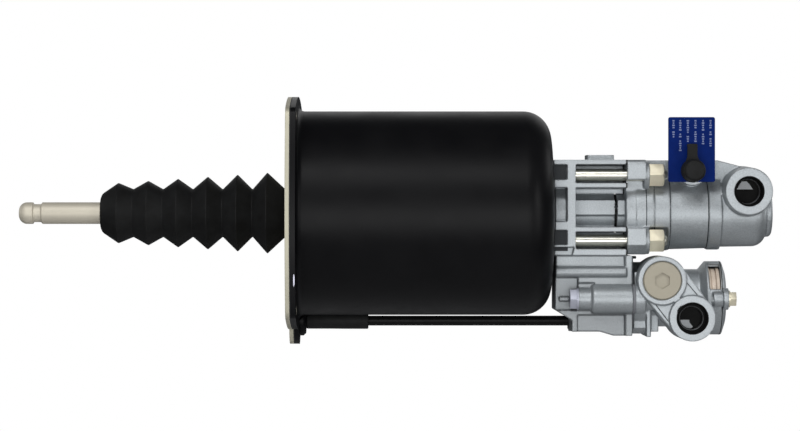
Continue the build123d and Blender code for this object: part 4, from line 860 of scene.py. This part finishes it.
def ring_edges(work, segments, radius):
    """A ring of edges around the X axis at its origin, with a corner at the top."""
    made = bmesh.ops.create_circle(work, cap_ends=False, segments=segments, radius=radius * MM)
    ring = made["verts"]
    for axis in "YX":
        quarter_turn = Matrix.Rotation(math.pi / 2, 3, axis)
        bmesh.ops.rotate(work, verts=ring, cent=(0, 0, 0), matrix=quarter_turn)
    return list({edge for vert in ring for edge in vert.link_edges})


plug_outline = [(0.0, face_r), (0.0, plug_disc_r - 0.7), (0.7, plug_disc_r), (2.0, plug_disc_r)]
plug_outline += [(2.0, plug_stub_r), (11.5, plug_stub_r), (12.0, plug_stub_r - 0.5), (12.0, face_r)]
plug_work = turned(plug_outline)
outer_edges = ring_edges(plug_work, 96, face_r)
hexagon = ring_edges(plug_work, 6, socket_r)
bmesh.ops.bridge_loops(plug_work, edges=outer_edges + hexagon)
wall_parts = bmesh.ops.extrude_edge_only(plug_work, edges=hexagon)["geom"]
wall_verts = [item for item in wall_parts if isinstance(item, bmesh.types.BMVert)]
bmesh.ops.translate(plug_work, verts=wall_verts, vec=(socket_depth * MM, 0, 0))
wall_edges = [item for item in wall_parts if isinstance(item, bmesh.types.BMEdge)]
bmesh.ops.edgeloop_fill(plug_work, edges=wall_edges)
bmesh.ops.remove_doubles(plug_work, verts=plug_work.verts, dist=0.000002)
bmesh.ops.recalc_face_normals(plug_work, faces=plug_work.faces)
face_front(plug_work, *plug_place)
plug = make_piece("plug_disc", plug_work, "brown_steel", "housing")
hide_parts("valve_plug")

# %% [markdown]
# ## Exhaust rings and cover
# Beige rings show in a window of the head's flange. They are taken for the flaps of the exhaust, a
# stack of moulded rings with thin shadows between them. Spinning one stepped outline gives it all.

# %% Exhaust rings
valve_z = -50.8
stack = [(250.5, 7.1), (250.5, 18.4), (251.5, 18.4), (251.5, 17.2), (252.1, 17.2), (252.1, 18.0),
         (254.4, 18.0), (254.4, 16.4), (254.9, 16.4), (254.9, 18.3), (256.8, 18.3), (256.8, 7.1)]
stacked = lay_in([(0.0, valve_z)], stack, soft=0.18)
rings = make_piece("exhaust_stack", stacked, "beige_rings", "housing")
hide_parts("exhaust_rings")
joint_outline = [(257.35, 20.0), (257.35, 22.04), (257.85, 22.04), (257.85, 20.0)]
joint_ring = lay_in([(0.0, valve_z)], joint_outline, steps=128)
make_piece("cover_joint", joint_ring, "fibre", "housing")

# %% [markdown]
# ## Bleed screw, dust cap and tag
# A rubber cap keeps dirt out of the bleed nipple. It is a moulded cup with a soft front edge, and its
# strap stands up before the tag. The strap is drawn as one flat outline and then given its thickness.

# %% Bleed screw and dust cap
eased_copy("bleed_body", "bleed_screw", 0.2, "zinc_steel", from_angle=24)
cap_x, cap_z, cap_front_y, cap_back_y = 239.2, 25.0, -42.2, -27.8
cap_length = cap_back_y - cap_front_y
cap_outline = [(0.0, 0.0), (0.0, 4.6)] + arc((1.6, 4.6), 1.6, 180, 90, 6)[1:]
cap_outline += [(3.0, 6.6), (cap_length - 2.6, 6.7), (cap_length - 2.2, 7.0)]
cap_outline += [(cap_length - 0.4, 7.0), (cap_length, 6.6), (cap_length, 3.5), (4.0, 3.5), (4.0, 0.0)]
cap = turned(cap_outline, soft=0.15, soft_from=30)
face_front(cap, cap_x, cap_front_y, cap_z)
strap_corners = [(-4.9, 4.2), (-3.9, 6.6), (-3.4, 8.6), (-3.3, 14.0), (-3.7, 14.9), (-3.2, 15.9),
                 (2.4, 15.9), (2.7, 15.0), (2.7, 8.6), (3.4, 6.8), (4.8, 5.0)]
strap_thick, strap_y, strap_edge = 1.7, -30.6, 0.35
strap_verts = []
for x, z in strap_corners:
    strap_verts.append(cap.verts.new(Vector((cap_x + x, strap_y, cap_z + z)) * MM))
strap_face = cap.faces.new(strap_verts)
raised = bmesh.ops.extrude_face_region(cap, geom=[strap_face], use_keep_orig=True)["geom"]
raised_verts = [item for item in raised if isinstance(item, bmesh.types.BMVert)]
bmesh.ops.translate(cap, verts=raised_verts, vec=(0, strap_thick * MM, 0))
bmesh.ops.recalc_face_normals(cap, faces=cap.faces)
strap_edges = list({edge for vert in strap_verts + raised_verts for edge in vert.link_edges})
bmesh.ops.bevel(cap, geom=strap_edges, offset=strap_edge * MM, segments=2, profile=0.5,
                affect="EDGES", material=-1, clamp_overlap=True)
dust_cap = make_piece("dust_cap_skin", cap, "cap_rubber", "housing")
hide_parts("dust_cap")

# %% [markdown]
# The tag is a thin blue plate behind the cap. Its print is only hinted at by rows of small marks in
# groups, so it says nothing. Each mark is a flat cube that stands out of the plate by a hair.

# %% Tag and its marks
eased_copy("tag_plate", "fluid_tag", 0.22, "blue_plastic", from_angle=40)
tag_right_x, tag_top_z, tag_front_y = 252.9, 56.8, -23.8
# distance from the tag's right edge, and how many marks stand in each group
mark_rows = [(2.7, (4, 2, 4)), (7.1, (5, 5)), (11.6, (4, 5, 2)), (16.1, (6, 3)), (20.6, (5, 2, 5)),
             (24.6, (4, 3))]
mark_wide, mark_thick, mark_tall = 1.45, 0.04, 0.85
first_mark, mark_step, group_space = 2.2, 1.35, 1.3
marks = bmesh.new()
for from_right, groups in mark_rows:
    z = tag_top_z - first_mark
    for count in groups:
        for i in range(count):
            mark = bmesh.ops.create_cube(marks, size=MM)["verts"]
            narrow = mark_wide - 0.25 * ((i * 7 + count) % 3)
            bmesh.ops.scale(marks, verts=mark, vec=(narrow, mark_thick, mark_tall))
            mark_place = Vector((tag_right_x - from_right, tag_front_y - 0.005, z)) * MM
            bmesh.ops.translate(marks, verts=mark, vec=mark_place)
            z -= mark_step
        z -= group_space
make_piece("tag_marks", marks, "tag_print", "housing")

# %% [markdown]
# ## Breather pipe
# A plain tube runs back under the pot towards the valve. Both of its ends are hidden in the
# photograph, so its length is a guess. At the pot's flange it is held in a rubber sleeve, which is a
# little swollen where the tube's end fills it.

# %% Pipe and sleeve
pipe_y, pipe_z = 13.9, -65.0
pipe_outline = [(34.0, 2.2), (34.0, 3.0), (174.6, 3.0), (174.6, 2.2)]
tube = lay_in([(pipe_y, pipe_z)], pipe_outline, steps=48)
pipe = make_piece("pipe_skin", tube, "pipe_paint", "housing")
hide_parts("vent_pipe")
sleeve_outline = [(10.0, 3.2), (10.0, 4.5), (10.6, 4.9), (24.0, 4.9), (34.0, 5.0), (46.9, 5.0),
                  (47.4, 4.6), (47.4, 3.05)]
hose = lay_in([(pipe_y, pipe_z)], sleeve_outline, steps=64, soft=0.2)
sleeve = make_piece("sleeve_skin", hose, "cap_rubber", "housing")
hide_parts("hose_sleeve")
eased_copy("fitting_skin", "pipe_fitting", 0.3, "black_paint", from_angle=30)

# %% [markdown]
# The floor is a pale round table, low enough to stay out of the front view. It isn't part of the servo,
# so it rides on no body.

# %% Floor
table_radius, table_middle = 0.42, (0.066, 0.0, -0.30)
table = bmesh.new()
bmesh.ops.create_circle(table, cap_ends=True, segments=128, radius=table_radius)
bmesh.ops.translate(table, verts=table.verts, vec=table_middle)
table_mesh = bpy.data.meshes.new("floor")
table.to_mesh(table_mesh)
table.free()
floor = bpy.data.objects.new("floor", table_mesh)
bpy.context.scene.collection.objects.link(floor)
paper_finish, paper_tree, paper_shader = new_finish("floor_finish")
paper_shader.inputs["Base Color"].default_value = (0.68, 0.68, 0.69, 1)
paper_shader.inputs["Roughness"].default_value = 0.7
floor.data.materials.append(paper_finish)
